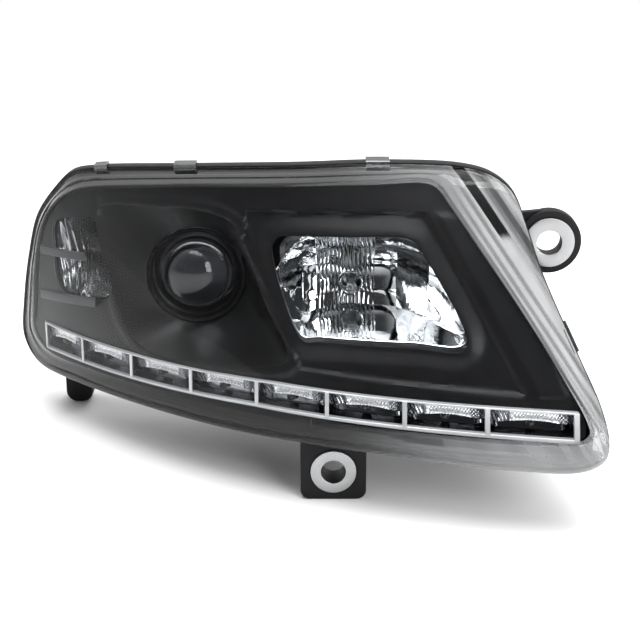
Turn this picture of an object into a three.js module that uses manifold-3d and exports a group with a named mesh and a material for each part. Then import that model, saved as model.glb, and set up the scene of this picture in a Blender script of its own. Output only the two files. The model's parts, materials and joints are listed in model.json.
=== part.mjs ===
// Car headlight assembly, inner end towards +X, lens towards -Y, up +Z, millimetres.
import * as THREE from 'three';
import * as BufferGeometryUtils from 'three/addons/utils/BufferGeometryUtils.js';
import Module from 'manifold-3d';

const wasm = await Module();
wasm.setup();

// Driving dimensions.
const FRONT = -195;            // y of the lens face at its inner lower end
const INNER = 309;             // x where the sweep of the face starts
const CROWN = 8;               // how far the face bows over 100 mm of height
const LENS_WALL = 2.6;
const BACK = 172;              // y of the housing's back wall
const HOUSING_WALL = 3;
const CHANNEL = 16;            // depth of the groove rim, front to back
const GROOVE = [3, 8];         // groove inset from the rim, outer and inner side
const LIP = 10.5;              // inset of the housing mouth
const TAPER = 0.17;            // how much the housing shrinks towards its back
const TOP_TAPER = 0.33;        // the same above the middle, away from the outer end
const BEZEL_BACK = 14;         // bezel front, behind the lens face
const BEZEL_WALL = 2.2;
const TIDY = 0.05;             // edges shorter than this are merged away
const STEPS = 2;               // loop points per station
const CENTRE = [-10, 185];     // middle of the lens in x and z
const PROJECTOR = [-91, 190];  // projector axis, x and z
const HIGH_BEAM = [66, 179];   // high beam bulb axis, x and z
const PARKING = [70, 141];
const INDICATOR = [-208, 188];
const SWING_X = 15;            // vertical aiming axis
const TILT_Z = 190;            // horizontal aiming axis
const PIVOT_Y = 60.5;
const PLATE = [57, 64];        // optics carrier, front and back
const TILT_SCREW = [-20, 233]; // vertical adjuster, x and z
const SWING_SCREW = [172.5, 225];
const UPPER_TAB = [253, 245.5];
const LOWER_BRACKET = [47, 30.5];

// Stations round the lens, from the outer lower corner up and over: face edge x and z,
// housing rim x and z, and how far the rim lies behind the face.
const STATIONS = [
  [-281.5, 92, -299.5, 76, 10],
  [-281, 125, -296, 120, 12],
  [-276, 172, -287, 170, 15],
  [-265, 215, -274, 218, 22],
  [-246, 245, -250, 252, 29],
  [-222, 263, -230, 271, 34],
  [-196, 272, -204, 280, 37],
  [-100, 289, -100, 296, 42],
  [15, 300, 14, 306.3, 44],
  [90, 305.5, 90, 311.5, 44],
  [134, 308, 172, 310.7, 41],
  [147, 303, 200, 305, 34],
  [160, 287, 219, 291, 30],
  [190, 247, 230, 264, 30],
  [214, 215, 242, 229, 30],
  [236, 184, 256, 197, 30],
  [261, 146, 277, 153, 28],
  [280, 114, 293, 118, 21],
  [283, 102, 298.5, 92, 15],
  [275, 93, 295, 79, 11],
  [255, 90, 276, 68, 9],
  [190, 88, 205, 63.5, 9],
  [100, 87.5, 100, 65, 9],
  [-28, 88, -30, 62.5, 9],
  [-110, 84.5, -115, 60, 9],
  [-205, 79, -218, 54.5, 9],
  [-266, 77, -282, 54, 9],
];
const LOW_STATIONS = [0, 19, 20, 21, 22, 23, 24, 25, 26];
const STRIP_DIVIDERS = [-217.5, -159.5, -94.5, -27.5, 40.5, 113, 188.5];
const STRIP_ENDS = [-266, 270];
const HIGH_OPENING = [
  [-6, 248], [6, 250.5], [60, 253], [113, 255], [124, 251], [130, 243],
  [170, 165], [120, 162], [34, 159], [18, 158], [-3, 200], [-12, 233], [-11, 241],
];
const WELL = [
  [-194, 247], [-136, 260], [-84, 264], [-50, 255], [-38, 234], [-20, 190],
  [3, 138], [-60, 125], [-138, 117], [-163, 134], [-182, 186], [-191, 222],
];
const INDICATOR_OPENING = [
  [-247, 220], [-228, 231], [-199, 236], [-193, 211], [-181, 164], [-221, 146],
  [-244, 155], [-249, 190],
];

// ---- numbers and shapes ----

const V = (x, y, z) => new THREE.Vector3(x, y, z);
const mix = (a, b, t) => a + (b - a) * t;
const clamp = (v, low, high) => Math.min(Math.max(v, low), high);

function faceY(x, z) {
  const out = Math.max(INNER - x, -60);
  const sweep = 0.16 * out + 1.03e-6 * out ** 3;
  const rake = mix(0.6, 0.16, clamp(out / 551, 0, 1));
  return FRONT + sweep + rake * (z - 93) + CROWN * (((z - 190) / 100) ** 2 - 1);
}

function smoothLoop(points, steps) {
  const curve = new THREE.CatmullRomCurve3(points, true, 'centripetal');
  const count = points.length * steps;
  return Array.from({ length: count }, (_, i) => curve.getPoint(i / count));
}

// Moves every point of a loop towards its inside, within the x-z plane.
function inset(loop, distance) {
  const count = loop.length;
  let area = 0;
  loop.forEach((p, i) => {
    const q = loop[(i + 1) % count];
    area += p.x * q.z - q.x * p.z;
  });
  const side = Math.sign(area);
  return loop.map((p, i) => {
    const a = loop[(i + count - 1) % count];
    const b = loop[(i + 1) % count];
    const length = Math.hypot(b.x - a.x, b.z - a.z);
    const nx = -(b.z - a.z) / length * side;
    const nz = (b.x - a.x) / length * side;
    return V(p.x + nx * distance, p.y, p.z + nz * distance);
  });
}

const onFace = (loop, back) => loop.map((p) => V(p.x, faceY(p.x, p.z) + back, p.z));
const shifted = (loop, back) => loop.map((p) => V(p.x, p.y + back, p.z));
const towards = (loop, [cx, cz], t) =>
  loop.map((p) => V(mix(cx, p.x, t), p.y, mix(cz, p.z, t)));

const edgeLoop = smoothLoop(STATIONS.map(([x, z]) => V(x, 0, z)), STEPS);
const rimLoop = smoothLoop(
  STATIONS.map(([, , x, z, back]) => V(x, faceY(x, z) + back, z)), STEPS);

// ---- solids ----

// Merges points, drops slivers, turns the faces outwards and makes a solid.
function solid(geometry, tolerance = 1e-4) {
  const bare = geometry.clone();
  bare.deleteAttribute('normal');
  bare.deleteAttribute('uv');
  const merged = BufferGeometryUtils.mergeVertices(bare, tolerance);
  const index = Array.from(merged.index.array);
  const position = merged.attributes.position;
  const faces = [];
  for (let i = 0; i < index.length; i += 3) {
    const [a, b, c] = index.slice(i, i + 3);
    if (a !== b && b !== c && c !== a) faces.push([a, b, c]);
  }
  const at = (i) => V(position.getX(i), position.getY(i), position.getZ(i));
  const volume = faces.reduce(
    (sum, [a, b, c]) => sum + at(a).dot(at(b).cross(at(c))), 0);
  const turned = volume < 0 ? faces.map(([a, b, c]) => [a, c, b]) : faces;
  return new wasm.Manifold(new wasm.Mesh({
    numProp: 3,
    vertProperties: new Float32Array(position.array),
    triVerts: new Uint32Array(turned.flat()),
  }));
}

function rawGeometry(body) {
  const mesh = body.getMesh();
  const geometry = new THREE.BufferGeometry();
  const positions = new Float32Array(mesh.vertProperties);
  geometry.setAttribute('position', new THREE.BufferAttribute(positions, 3));
  geometry.setIndex(new THREE.BufferAttribute(new Uint32Array(mesh.triVerts), 1));
  return geometry;
}

function toGeometry(body) {
  const geometry = rawGeometry(solid(rawGeometry(body.simplify(TIDY)), 0.02));
  geometry.computeVertexNormals();
  return geometry;
}

const joined = (...bodies) => bodies.reduce((a, b) => a.add(b));
const cut = (body, ...tools) => tools.reduce((a, b) => a.subtract(b), body);

// A closed skin through rings of points; a ring of one point closes an end. The ends of a
// hollow section are closed by triangles over its outline instead, when asked.
function loft(rings, section = null) {
  const positions = [];
  const start = [];
  rings.forEach((ring) => {
    start.push(positions.length / 3);
    ring.forEach((p) => positions.push(p.x, p.y, p.z));
  });
  const index = [];
  for (let r = 0; r + 1 < rings.length; r += 1) {
    const a = rings[r].length;
    const b = rings[r + 1].length;
    const count = Math.max(a, b);
    for (let i = 0; i < count; i += 1) {
      const j = (i + 1) % count;
      const a0 = start[r] + (a === 1 ? 0 : i);
      const a1 = start[r] + (a === 1 ? 0 : j);
      const b0 = start[r + 1] + (b === 1 ? 0 : i);
      const b1 = start[r + 1] + (b === 1 ? 0 : j);
      if (a0 !== a1) index.push(a0, a1, b1);
      if (b0 !== b1) index.push(a0, b1, b0);
    }
  }
  if (section) {
    const last = start.at(-1);
    THREE.ShapeUtils.triangulateShape(section, []).forEach(([a, b, c]) => {
      index.push(a, c, b, last + a, last + b, last + c);
    });
  }
  const geometry = new THREE.BufferGeometry();
  geometry.setAttribute('position', new THREE.Float32BufferAttribute(positions, 3));
  geometry.setIndex(index);
  return solid(geometry);
}

function middle(ring) {
  const sum = ring.reduce((a, p) => a.add(p), V(0, 0, 0));
  return [sum.divideScalar(ring.length)];
}

const capped = (rings) => loft([middle(rings[0]), ...rings, middle(rings.at(-1))]);

// A straight prism along y over an outline given in x and z.
function prism(outline, y0, y1) {
  const shape = new THREE.Shape(outline.map(([x, z]) => new THREE.Vector2(x, z)));
  return shapePrism(shape, y0, y1);
}

function shapePrism(shape, y0, y1, curveSegments = 8) {
  const options = { depth: y1 - y0, bevelEnabled: false, curveSegments };
  const geometry = new THREE.ExtrudeGeometry(shape, options);
  geometry.rotateX(Math.PI / 2);
  geometry.translate(0, y1, 0);
  return solid(geometry);
}

function roundedShape(width, height, radius) {
  const [w, h] = [width / 2, height / 2];
  const shape = new THREE.Shape();
  shape.moveTo(-w + radius, -h);
  shape.lineTo(w - radius, -h);
  shape.absarc(w - radius, -h + radius, radius, -Math.PI / 2, 0, false);
  shape.lineTo(w, h - radius);
  shape.absarc(w - radius, h - radius, radius, 0, Math.PI / 2, false);
  shape.lineTo(-w + radius, h);
  shape.absarc(-w + radius, h - radius, radius, Math.PI / 2, Math.PI, false);
  shape.lineTo(-w, -h + radius);
  shape.absarc(-w + radius, -h + radius, radius, Math.PI, Math.PI * 1.5, false);
  return shape;
}

// A rounded block with its outline in x-z.
const block = (x, z, width, height, radius, y0, y1) =>
  shapePrism(roundedShape(width, height, radius), y0, y1, 2).translate([x, 0, z]);

// A turned body about a line along y at x, z, from a profile of [radius, y] points.
function turned([x, z], profile, segments = 20) {
  const points = profile.map(([r, y]) => new THREE.Vector2(r, y));
  const geometry = new THREE.LatheGeometry(points, segments);
  return solid(geometry).translate([x, 0, z]);
}

const disc = (at, radius, y0, y1, segments = 20) =>
  turned(at, [[0, y0], [radius, y0], [radius, y1], [0, y1]], segments);

const tube = (at, inner, outer, y0, y1, segments = 20) =>
  turned(at, [[inner, y0], [outer, y0], [outer, y1], [inner, y1], [inner, y0]], segments);

// A round bar between two points.
function bar(from, to, radius, segments = 10) {
  const length = from.distanceTo(to);
  const geometry = new THREE.CylinderGeometry(radius, radius, length, segments);
  const turn = new THREE.Quaternion().setFromUnitVectors(
    V(0, 1, 0), to.clone().sub(from).normalize());
  geometry.applyQuaternion(turn);
  const centre = from.clone().add(to).multiplyScalar(0.5);
  geometry.translate(centre.x, centre.y, centre.z);
  return solid(geometry);
}

// A wire of round section along a smooth line.
function wire(points, radius, steps) {
  const section = new THREE.Shape();
  section.absarc(0, 0, radius, 0, Math.PI * 2, false);
  const path = new THREE.CatmullRomCurve3(points);
  const options = { extrudePath: path, steps, bevelEnabled: false, curveSegments: 2 };
  return solid(new THREE.ExtrudeGeometry(section, options));
}

// ---- lens, housing and bezel ----

// The solid behind a copy of the face: its edge loop, how far behind the face, its depth.
function faceBlock(loop, back, depth) {
  const rings = [0.45, 0.8, 1].map((t) => onFace(towards(loop, CENTRE, t), back));
  const front = [V(CENTRE[0], faceY(...CENTRE) + back, CENTRE[1])];
  const rear = shifted(rings.at(-1), 0).map((p, i) => V(p.x, p.y + depth(p, i), p.z));
  return loft([front, ...rings, rear, middle(rear)]);
}

function lensSkin(wall, foot, extra) {
  const edge = inset(edgeLoop, wall + 1.2);
  const shoulder = inset(edgeLoop, wall);
  const rings = [0.45, 0.8].map((t) => onFace(towards(edge, CENTRE, t), wall));
  const front = [V(CENTRE[0], faceY(...CENTRE) + wall, CENTRE[1])];
  const base = inset(rimLoop, foot);
  const step = inset(rimLoop, GROOVE[1] - 0.9);
  const half = shoulder.map((p, i) => {
    const y = mix(faceY(p.x, p.z) + wall + 1.5, base[i].y - 3, 0.5);
    return V(mix(p.x, base[i].x, 0.42), y, mix(p.z, base[i].z, 0.42));
  });
  return loft([
    front, ...rings, onFace(edge, wall), onFace(shoulder, wall + 1.6), half,
    shifted(base, -2), shifted(base, 6 + extra), shifted(step, 6 + extra),
    shifted(inset(rimLoop, 10), 6 + extra),
    middle(shifted(base, 6 + extra)),
  ]);
}

const outerLens = () =>
  cut(lensSkin(0, GROOVE[0] + 0.4, 0), lensSkin(LENS_WALL, GROOVE[1] - 0.9, 4));

// A band between two insets of the rim; level margins keep its ends parallel.
function ringPrism(outer, inner, y0, y1) {
  const plug = (distance, from, to) => {
    const loop = inset(rimLoop, distance);
    const step = inset(rimLoop, Math.max(distance, GROOVE[1] - 0.9));
    const margin = inset(rimLoop, 10);
    return capped([
      shifted(margin, from), shifted(step, from), shifted(loop, from),
      shifted(loop, to), shifted(step, to), shifted(margin, to),
    ]);
  };
  return cut(plug(outer, y0, y1), plug(inner, y0 - 5, y1 + 5));
}

const lensSeal = () => ringPrism(GROOVE[0] + 0.4, GROOVE[1] - 0.9, 7.5, 8.7);

const topTaper = (x) => mix(TAPER, TOP_TAPER, clamp((x + 190) / 80, 0, 1));

// Rings of the housing body behind its groove rim; t runs from the rim to the back wall.
function bodyRing(t, wall, backWall) {
  const loop = inset(rimLoop, 7.5 + wall);
  const scale = (taper) => 1 - taper * t ** 1.3;
  return loop.map((p) => V(
    mix(CENTRE[0], p.x, scale(TAPER)),
    mix(p.y + CHANNEL, BACK - backWall, t),
    mix(CENTRE[1], p.z, scale(p.z > CENTRE[1] ? topTaper(p.x) : TAPER)),
  ));
}

const BODY_LEVELS = [0, 0.3, 0.65, 1];

const housingOutside = () => capped([
  inset(rimLoop, 11), rimLoop, shifted(rimLoop, CHANNEL), ...BODY_LEVELS.map((t) => bodyRing(t, 0, 0)),
]);

function housingInside() {
  const mouth = inset(rimLoop, LIP);
  return capped([
    shifted(mouth, -30), shifted(mouth, CHANNEL - HOUSING_WALL),
    ...BODY_LEVELS.map((t) => bodyRing(t, HOUSING_WALL, HOUSING_WALL)),
  ]);
}

// A loop and a stem standing off the inner end of the rim.
function upperTab() {
  const ring = disc(UPPER_TAB, 31, -57, -43);
  const root = prism([[226, 274], [252, 276.5], [252, 214.5], [243, 213], [224, 234]], -53, -45);
  const web = prism([[222, 262], [240, 262], [243, 225], [226, 222]], -57, -35);
  return [joined(ring, root, web),
    joined(disc(UPPER_TAB, 23.4, -70, -30), disc(UPPER_TAB, 24.8, -70, -57.5))];
}

function lowerBracket() {
  const [x, z] = LOWER_BRACKET;
  const face = block(x, 36, 64, 72, 9, -113, -86);
  const gusset = prism([[20, 52], [76, 52], [70, 80], [26, 80]], -113, -60);
  return [joined(face, gusset), disc([x, z], 21.4, -130, -60)];
}

const foot = (x, y, top, width, depth) =>
  block(x, top / 2, width, top, 5, y - depth / 2, y + depth / 2);

function housing() {
  const [tab, tabHole] = upperTab();
  const [bracket, bracketHole] = lowerBracket();
  const posts = joined(
    bar(V(SWING_X, PIVOT_Y, 275.5), V(SWING_X, PIVOT_Y, 292), 8),
    bar(V(SWING_X, PIVOT_Y, 70), V(SWING_X, PIVOT_Y, 100.5), 8));
  const holes = [
    disc(PROJECTOR, 60.05, BACK - 20, BACK + 20, 28),
    disc(HIGH_BEAM, 50.05, BACK - 20, BACK + 20, 28),
    disc(INDICATOR, 17, BACK - 20, BACK + 20),
    disc([SWING_X, 124], 12, BACK - 20, BACK + 20),
    disc(TILT_SCREW, 4, BACK - 20, BACK + 20, 10),
    disc(SWING_SCREW, 4, BACK - 20, BACK + 20, 10),
    block(165, 112, 40, 22, 3, BACK - 20, BACK + 20),
    bar(V(SWING_X, PIVOT_Y, 90), V(SWING_X, PIVOT_Y, 284), 3.05),
  ];
  const shell = cut(
    joined(housingOutside(), tab, bracket, foot(-238, 142, 76, 30, 26),
      foot(150, 142, 98, 30, 26)),
    housingInside(), ringPrism(GROOVE[0], GROOVE[1], -30, 9), tabHole, bracketHole);
  return cut(joined(shell, posts), ...holes);
}

// A round collar set in the back wall, with the neck its cover pushes over.
const collar = (at, port, neck, flange) => turned(at, [
  [port, BACK - 3], [flange, BACK - 3], [flange, BACK], [neck, BACK], [neck, BACK + 9],
  [port, BACK + 9], [port, BACK - 3],
], 28);

// Skirt depth of the bezel: short at the thin outer end.
const skirt = (p) => 8 + 20 * clamp((p.x + 235) / 100, 0, 1);

function bezelLoop(extra) {
  const low = new Set(LOW_STATIONS);
  const points = STATIONS.map(([x, z, rx, rz], i) => {
    const w = low.has(i) ? 0.2 : 0;
    return V(mix(x, rx, w), 0, mix(z, rz, w));
  });
  return inset(smoothLoop(points, STEPS), 5.5 + extra);
}

// The walls of an opening: a band of the given depth behind the bezel front.
function band(outline, width, depth) {
  const loop = outline.map(([x, z]) => V(x, 0, z));
  const outer = inset(loop, -width).map((p) => [p.x, p.z]);
  const layer = cut(faceBlock(bezelLoop(0), BEZEL_BACK, () => 60),
    faceBlock(bezelLoop(-20), BEZEL_BACK + depth, () => 60));
  return cut(prism(outer, -220, 200), prism(outline, -240, 220)).intersect(layer);
}

const rounded = (outline, steps) =>
  smoothLoop(outline.map(([x, z]) => V(x, 0, z)), steps).map((p) => [p.x, p.z]);

const wellLoop = smoothLoop(WELL.map(([x, z]) => V(x, 0, z)), 3);

// The sunk well: from its outline on the bezel to a circle round the projector.
function well(grow, front) {
  const loop = inset(wellLoop, -grow);
  const circle = (radius, y) => loop.map((p) => {
    const a = Math.atan2(p.z - PROJECTOR[1], p.x - PROJECTOR[0]);
    return V(PROJECTOR[0] + radius * Math.cos(a), y, PROJECTOR[1] + radius * Math.sin(a));
  });
  const mouth = onFace(loop, BEZEL_BACK + 0.6);
  const rings = [shifted(mouth, -8), mouth, circle(51 + grow, 11.4), circle(51 + grow, 15.4)];
  if (!front) {
    return capped(rings).intersect(faceBlock(bezelLoop(0), BEZEL_BACK, () => 90));
  }
  const ahead = shifted(mouth, -15);
  const tip = [V(PROJECTOR[0], -150, PROJECTOR[1])];
  const rear = [circle(51, 9), circle(51, 30)];
  return loft([tip, ahead, mouth, ...rear, middle(rear[1])]);
}

function bezel() {
  const sheet = cut(faceBlock(bezelLoop(0), BEZEL_BACK, skirt),
    faceBlock(bezelLoop(BEZEL_WALL), BEZEL_BACK + BEZEL_WALL, () => 80));
  const slot = stripBody(2.4, 2.4, 2, 60, STRIP_ENDS[0] + 2.4, STRIP_ENDS[1] - 2.4);
  const cuts = [prism(rounded(HIGH_OPENING, 2), -230, 120),
    prism(rounded(INDICATOR_OPENING, 2), -230, 200), prism(wellLoop.map((p) => [p.x, p.z]), -230, 40), slot];
  const wells = cut(well(2, false), well(0, true));
  const frames = joined(band(rounded(HIGH_OPENING, 2), 2.2, 9),
    band(rounded(INDICATOR_OPENING, 2), 2, 6));
  return joined(cut(sheet, ...cuts), frames, cut(wells, prism(rounded(INDICATOR_OPENING, 2), -230, 200)));
}

// ---- light strip ----

const stripLow = (x) => 90.5 - 14 * clamp((-28 - x) / 242, 0, 1) ** 1.2;
const stripHigh = (x) => 117 - 10.5 * clamp((-10 - x) / 260, 0, 1);

// A bar that follows the face between x0 and x1; trims from the strip's lower and upper edge.
function faceBar(low, high, back0, back1, x0, x1, count) {
  const ring = (x) => {
    const [a, b] = [low(x), high(x)];
    return [V(x, faceY(x, a) + back0, a), V(x, faceY(x, b) + back0, b),
      V(x, faceY(x, b) + back1, b), V(x, faceY(x, a) + back1, a)];
  };
  const xs = Array.from({ length: count + 1 }, (_, i) => mix(x0, x1, i / count));
  return capped(xs.map(ring));
}

const stripBody = (trimLow, trimHigh, back0, back1, x0, x1, count = 20) =>
  faceBar((x) => stripLow(x) + trimLow, (x) => stripHigh(x) - trimHigh,
    back0, back1, x0, x1, count);

const cellEdges = () => [STRIP_ENDS[0] + 1, ...STRIP_DIVIDERS, STRIP_ENDS[1] - 1];

function eachCell(make) {
  const edges = cellEdges();
  return edges.slice(1).map((right, i) => make(edges[i], right, i));
}

function stripFrame() {
  const whole = stripBody(0, 0, 8, 13.4, ...STRIP_ENDS);
  const windows = eachCell((left, right, i) =>
    stripBody(2.4 + i * 0.1, 1.8, 0, 30, left + 1.2 + i * 0.15, right - 1.2 - i * 0.15, 3));
  return cut(whole, ...windows);
}

function stripCells() {
  const whole = stripBody(2.6, 4, 16.8, 42, STRIP_ENDS[0] + 4, STRIP_ENDS[1] - 3);
  const hollows = eachCell((left, right) =>
    stripBody(5, 6, 8, 38, left + 3.5, right - 3.5, 3));
  const ports = eachCell((left, right) => {
    const x = (left + right) / 2;
    const z = (stripLow(x) + stripHigh(x)) / 2;
    return disc([x, z], 5, faceY(x, z) + 30, faceY(x, z) + 60, 8);
  });
  return cut(whole, ...hollows, ...ports);
}

const stripBoard = () =>
  stripBody(4, 4, 43.6, 45.6, STRIP_ENDS[0] + 20, STRIP_ENDS[1] - 6);

function emitter(left, right) {
  const x = (left + right) / 2;
  const z = (stripLow(x) + stripHigh(x)) / 2;
  const y = faceY(x, z) + 43.2;
  return turned([x, z], [[0, y - 12], [2.2, y - 11], [3, y - 9], [3, y - 5.6], [0, y - 5.6]], 8)
    .translate([0, -0.4, 0]);
}

// ---- projector ----

function trimRing() {
  return turned(PROJECTOR, [
    [40, 28], [43, 21], [45.5, 19.5], [46.5, 13], [49.2, 9.6], [49.2, 14], [47.2, 20],
    [44, 22.6], [41.2, 28.6], [40, 28],
  ], 28);
}

function projectorLens() {
  const dome = Array.from({ length: 6 }, (_, i) => {
    const a = (i / 5) * Math.PI / 2;
    return [33 * Math.sin(a), 20 - 24 * Math.cos(a)];
  });
  return turned(PROJECTOR, [...dome, [34.4, 20], [34.4, 23.8], [0, 23.8]], 28);
}

const lensRing = () => turned(PROJECTOR, [
  [33.4, 18.2], [36.3, 18.2], [36.3, 30], [34.9, 30], [34.9, 19.6], [33.4, 19.6], [33.4, 18.2],
], 28);

const projectorHolder = () => turned(PROJECTOR, [
  [30, 24.2], [34.5, 24.2], [34.5, 30.4], [36.6, 30.4], [42, 50], [44, 50], [44, 56.6],
  [38, 56.6], [38, 50], [30, 32], [30, 24.2],
], 24);

function projectorBowl() {
  const curve = (radius, y0, depth) => Array.from({ length: 4 }, (_, i) => {
    const a = (i / 3) * 1.2;
    return [radius * Math.cos(a), y0 + depth * Math.sin(a)];
  });
  return turned(PROJECTOR, [
    [38.4, 64.4], [44.6, 64.4], [44.6, 67], [40.6, 67], ...curve(40.6, 69, 52),
    [14.5, 126], [12.4, 126], ...curve(38.4, 67, 52).reverse(), [38.4, 64.4],
  ], 24);
}

function cutoffShield() {
  const half = cut(disc(PROJECTOR, 35.6, 59, 61), block(-91, 232, 90, 80, 2, 40, 80));
  return cut(half, block(-114, 196, 40, 12, 2, 40, 80));
}

function capsuleBulb(at, tip, seat, barrel) {
  return turned(at, [
    [0, tip], [3, tip + 1], [5.4, tip + 5], [5.4, seat - 22], [barrel, seat - 20],
    [barrel, seat], [16, seat + 0.4], [16, seat + 3], [9, seat + 3], [9, seat + 15],
    [6, seat + 16], [0, seat + 16],
  ], 14);
}

// A wire bail over the bulb flange, hinged on its left end.
function bulbBail([x, z], y) {
  return wire([
    V(x - 17, y, z - 11), V(x - 11, y + 1, z - 12), V(x, y + 1, z - 12.5), V(x + 10, y + 1, z - 11),
    V(x + 14, y + 1, z), V(x + 10, y + 1, z + 11), V(x, y + 1, z + 12.5), V(x - 11, y + 1, z + 12),
    V(x - 17, y, z + 11),
  ], 0.9, 14);
}

// ---- high beam, parking light and indicator ----

// A shell between two copies of a bowl from a round hole out to an outline.
function bowl([cx, cz], outline, hole, surface, rim, wall) {
  const build = (grow, ahead) => {
    const loop = inset(outline.map(([x, z]) => V(x, 0, z)), -grow);
    const ring = (t) => loop.map((p) => {
      const a = Math.atan2(p.z - cz, p.x - cx);
      const x = mix(cx + (hole + grow) * Math.cos(a), p.x, t);
      const z = mix(cz + (hole + grow) * Math.sin(a), p.z, t);
      return V(x, Math.max(surface(x, z, t) + (grow ? wall : 0), rim(x, z)), z);
    });
    const rings = [0, 0.32, 0.66, 0.97].map(ring);
    const edge = loop.map((p) => V(p.x, rim(p.x, p.z) - ahead, p.z));
    const neck = rings[0].map((p) => V(p.x, p.y + (grow ? 0.01 : 12), p.z));
    return capped([neck, ...rings, edge]);
  };
  return cut(build(wall, 0), build(0, 10));
}

function highBeamReflector() {
  const wide = inset(rounded(HIGH_OPENING, 2).map(([x, z]) => V(x, 0, z)), -2)
    .map((p) => [p.x, p.z]);
  const shell = bowl(HIGH_BEAM, wide, 11.5,
    (x, z) => 22 - Math.hypot(x - HIGH_BEAM[0], z - HIGH_BEAM[1]) ** 2 / 104,
    (x, z) => faceY(x, z) + 35, 2);
  const neck = tube(HIGH_BEAM, 11.5, 14.5, 20, 56.6, 20);
  const flange = tube(HIGH_BEAM, 11.5, 22, 53.6, 56.6, 20);
  return cut(joined(shell, neck, flange), disc(PARKING, 6, -40, 60, 12));
}

function wedgeBulb([x, z], tip, seat) {
  return turned([x, z], [
    [0, tip], [3.5, tip + 1.5], [5, tip + 5], [5, seat - 1], [4, seat], [0, seat],
  ], 12);
}

const parkingHolder = () => joined(
  disc(PARKING, 5.6, 11.4, 14.5, 12), disc(PARKING, 9, 14.5, 17, 12),
  block(PARKING[0], PARKING[1], 11, 8, 1, 17, 30));

function indicatorReflector() {
  const wide = inset(rounded(INDICATOR_OPENING, 2).map(([x, z]) => V(x, 0, z)), -1)
    .map((p) => [p.x, p.z]);
  const shell = bowl(INDICATOR, wide, 12,
    (x, z, t) => mix(128, faceY(x, z) + 28, t ** 1.4),
    (x, z) => faceY(x, z) + 27, 1.8);
  return joined(shell, tube(INDICATOR, 12, 14, 126, 136, 16));
}

const indicatorLens = () => {
  const loop = inset(rounded(INDICATOR_OPENING, 2).map(([x, z]) => V(x, 0, z)), 1.2);
  const sheet = cut(faceBlock(inset(edgeLoop, 2), BEZEL_BACK + 4, () => 20),
    faceBlock(inset(edgeLoop, 0), BEZEL_BACK + 6, () => 30));
  return prism(loop.map((p) => [p.x, p.z]), -200, 200).intersect(sheet);
};

function blade(x0, x1, z0, z1, height) {
  const mid = (x) => mix(z0, z1, (x - x0) / (x1 - x0));
  return faceBar((x) => mid(x) - height / 2, (x) => mid(x) + height / 2, 8.5, 13.4, x0, x1, 6);
}

const indicatorHolder = () => joined(
  disc(INDICATOR, 16.6, 152, BACK + 0.4), disc(INDICATOR, 21, BACK + 0.4, BACK + 5),
  block(INDICATOR[0], INDICATOR[1], 20, 16, 2, BACK + 5, BACK + 17),
  block(INDICATOR[0], INDICATOR[1], 34, 5, 1.5, BACK + 5, BACK + 9));

const indicatorBulb = () => turned(INDICATOR, [
  [0, 105], [5, 106.5], [9, 112], [9, 126], [7.4, 134], [7.4, 151.6], [0, 151.6],
], 12);

// ---- aiming ----

function aimFrame() {
  const whole = block(14, 188, 328, 168, 8, 55.5, 65.5);
  const window = block(14, 188, 306, 146, 6, 40, 80);
  return cut(whole, window,
    bar(V(SWING_X, PIVOT_Y, 90), V(SWING_X, PIVOT_Y, 290), 3.05),
    bar(V(-160, PIVOT_Y, TILT_Z), V(190, PIVOT_Y, TILT_Z), 2.45),
    disc(SWING_SCREW, 4, 40, 80, 16));
}

function carrier() {
  const plate = block(14, 188, 300, 140, 5, ...PLATE);
  const socket = tube([SWING_X, 124], 6.1, 8.3, 63.9, 74, 14);
  return cut(joined(plate, socket),
    disc(PROJECTOR, 36.2, 40, 80, 24), disc(HIGH_BEAM, 12.5, 40, 80, 16),
    bar(V(-160, PIVOT_Y, TILT_Z), V(-125, PIVOT_Y, TILT_Z), 2.45),
    bar(V(150, PIVOT_Y, TILT_Z), V(190, PIVOT_Y, TILT_Z), 2.45),
    disc(TILT_SCREW, 4, 40, 80, 16),
    block(117, 190, 62, 96, 8, 40, 80), block(20, 226, 58, 40, 8, 40, 80),
    block(-10, 160, 40, 40, 8, 40, 80));
}

const swingPin = (z0, z1) => bar(V(SWING_X, PIVOT_Y, z0), V(SWING_X, PIVOT_Y, z1), 3);
const tiltPin = (x0, x1) => bar(V(x0, PIVOT_Y, TILT_Z), V(x1, PIVOT_Y, TILT_Z), 2.4);

// A screw along y through the back wall, with a cross-driven wheel outside.
function adjuster(at, front) {
  const wheel = turned(at, [
    [0, BACK + 0.6], [9.5, BACK + 0.6], [9.5, BACK + 6], [6, BACK + 8], [6, BACK + 18],
    [0, BACK + 18],
  ], 12);
  return joined(disc(at, 3, front, BACK + 4, 16), wheel);
}

const levellingMotor = () => cut(
  joined(
    disc([SWING_X, 124], 11.6, BACK - 18, BACK + 1),
    block(SWING_X - 10, 116, 52, 44, 12, BACK + 0.4, BACK + 18),
    block(SWING_X - 18, 104, 22, 14, 2, BACK + 16, BACK + 22)),
  disc([SWING_X, 124], 4.6, BACK - 30, BACK - 12, 12));

const levellingPlunger = () => turned([SWING_X, 124], [
  [0, 65], [3, 66], [5, 70], [3, 74], [2.6, 78], [4, 82], [4, BACK - 18.6], [0, BACK - 18.6],
], 12);

// ---- back covers and connectors ----

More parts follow.
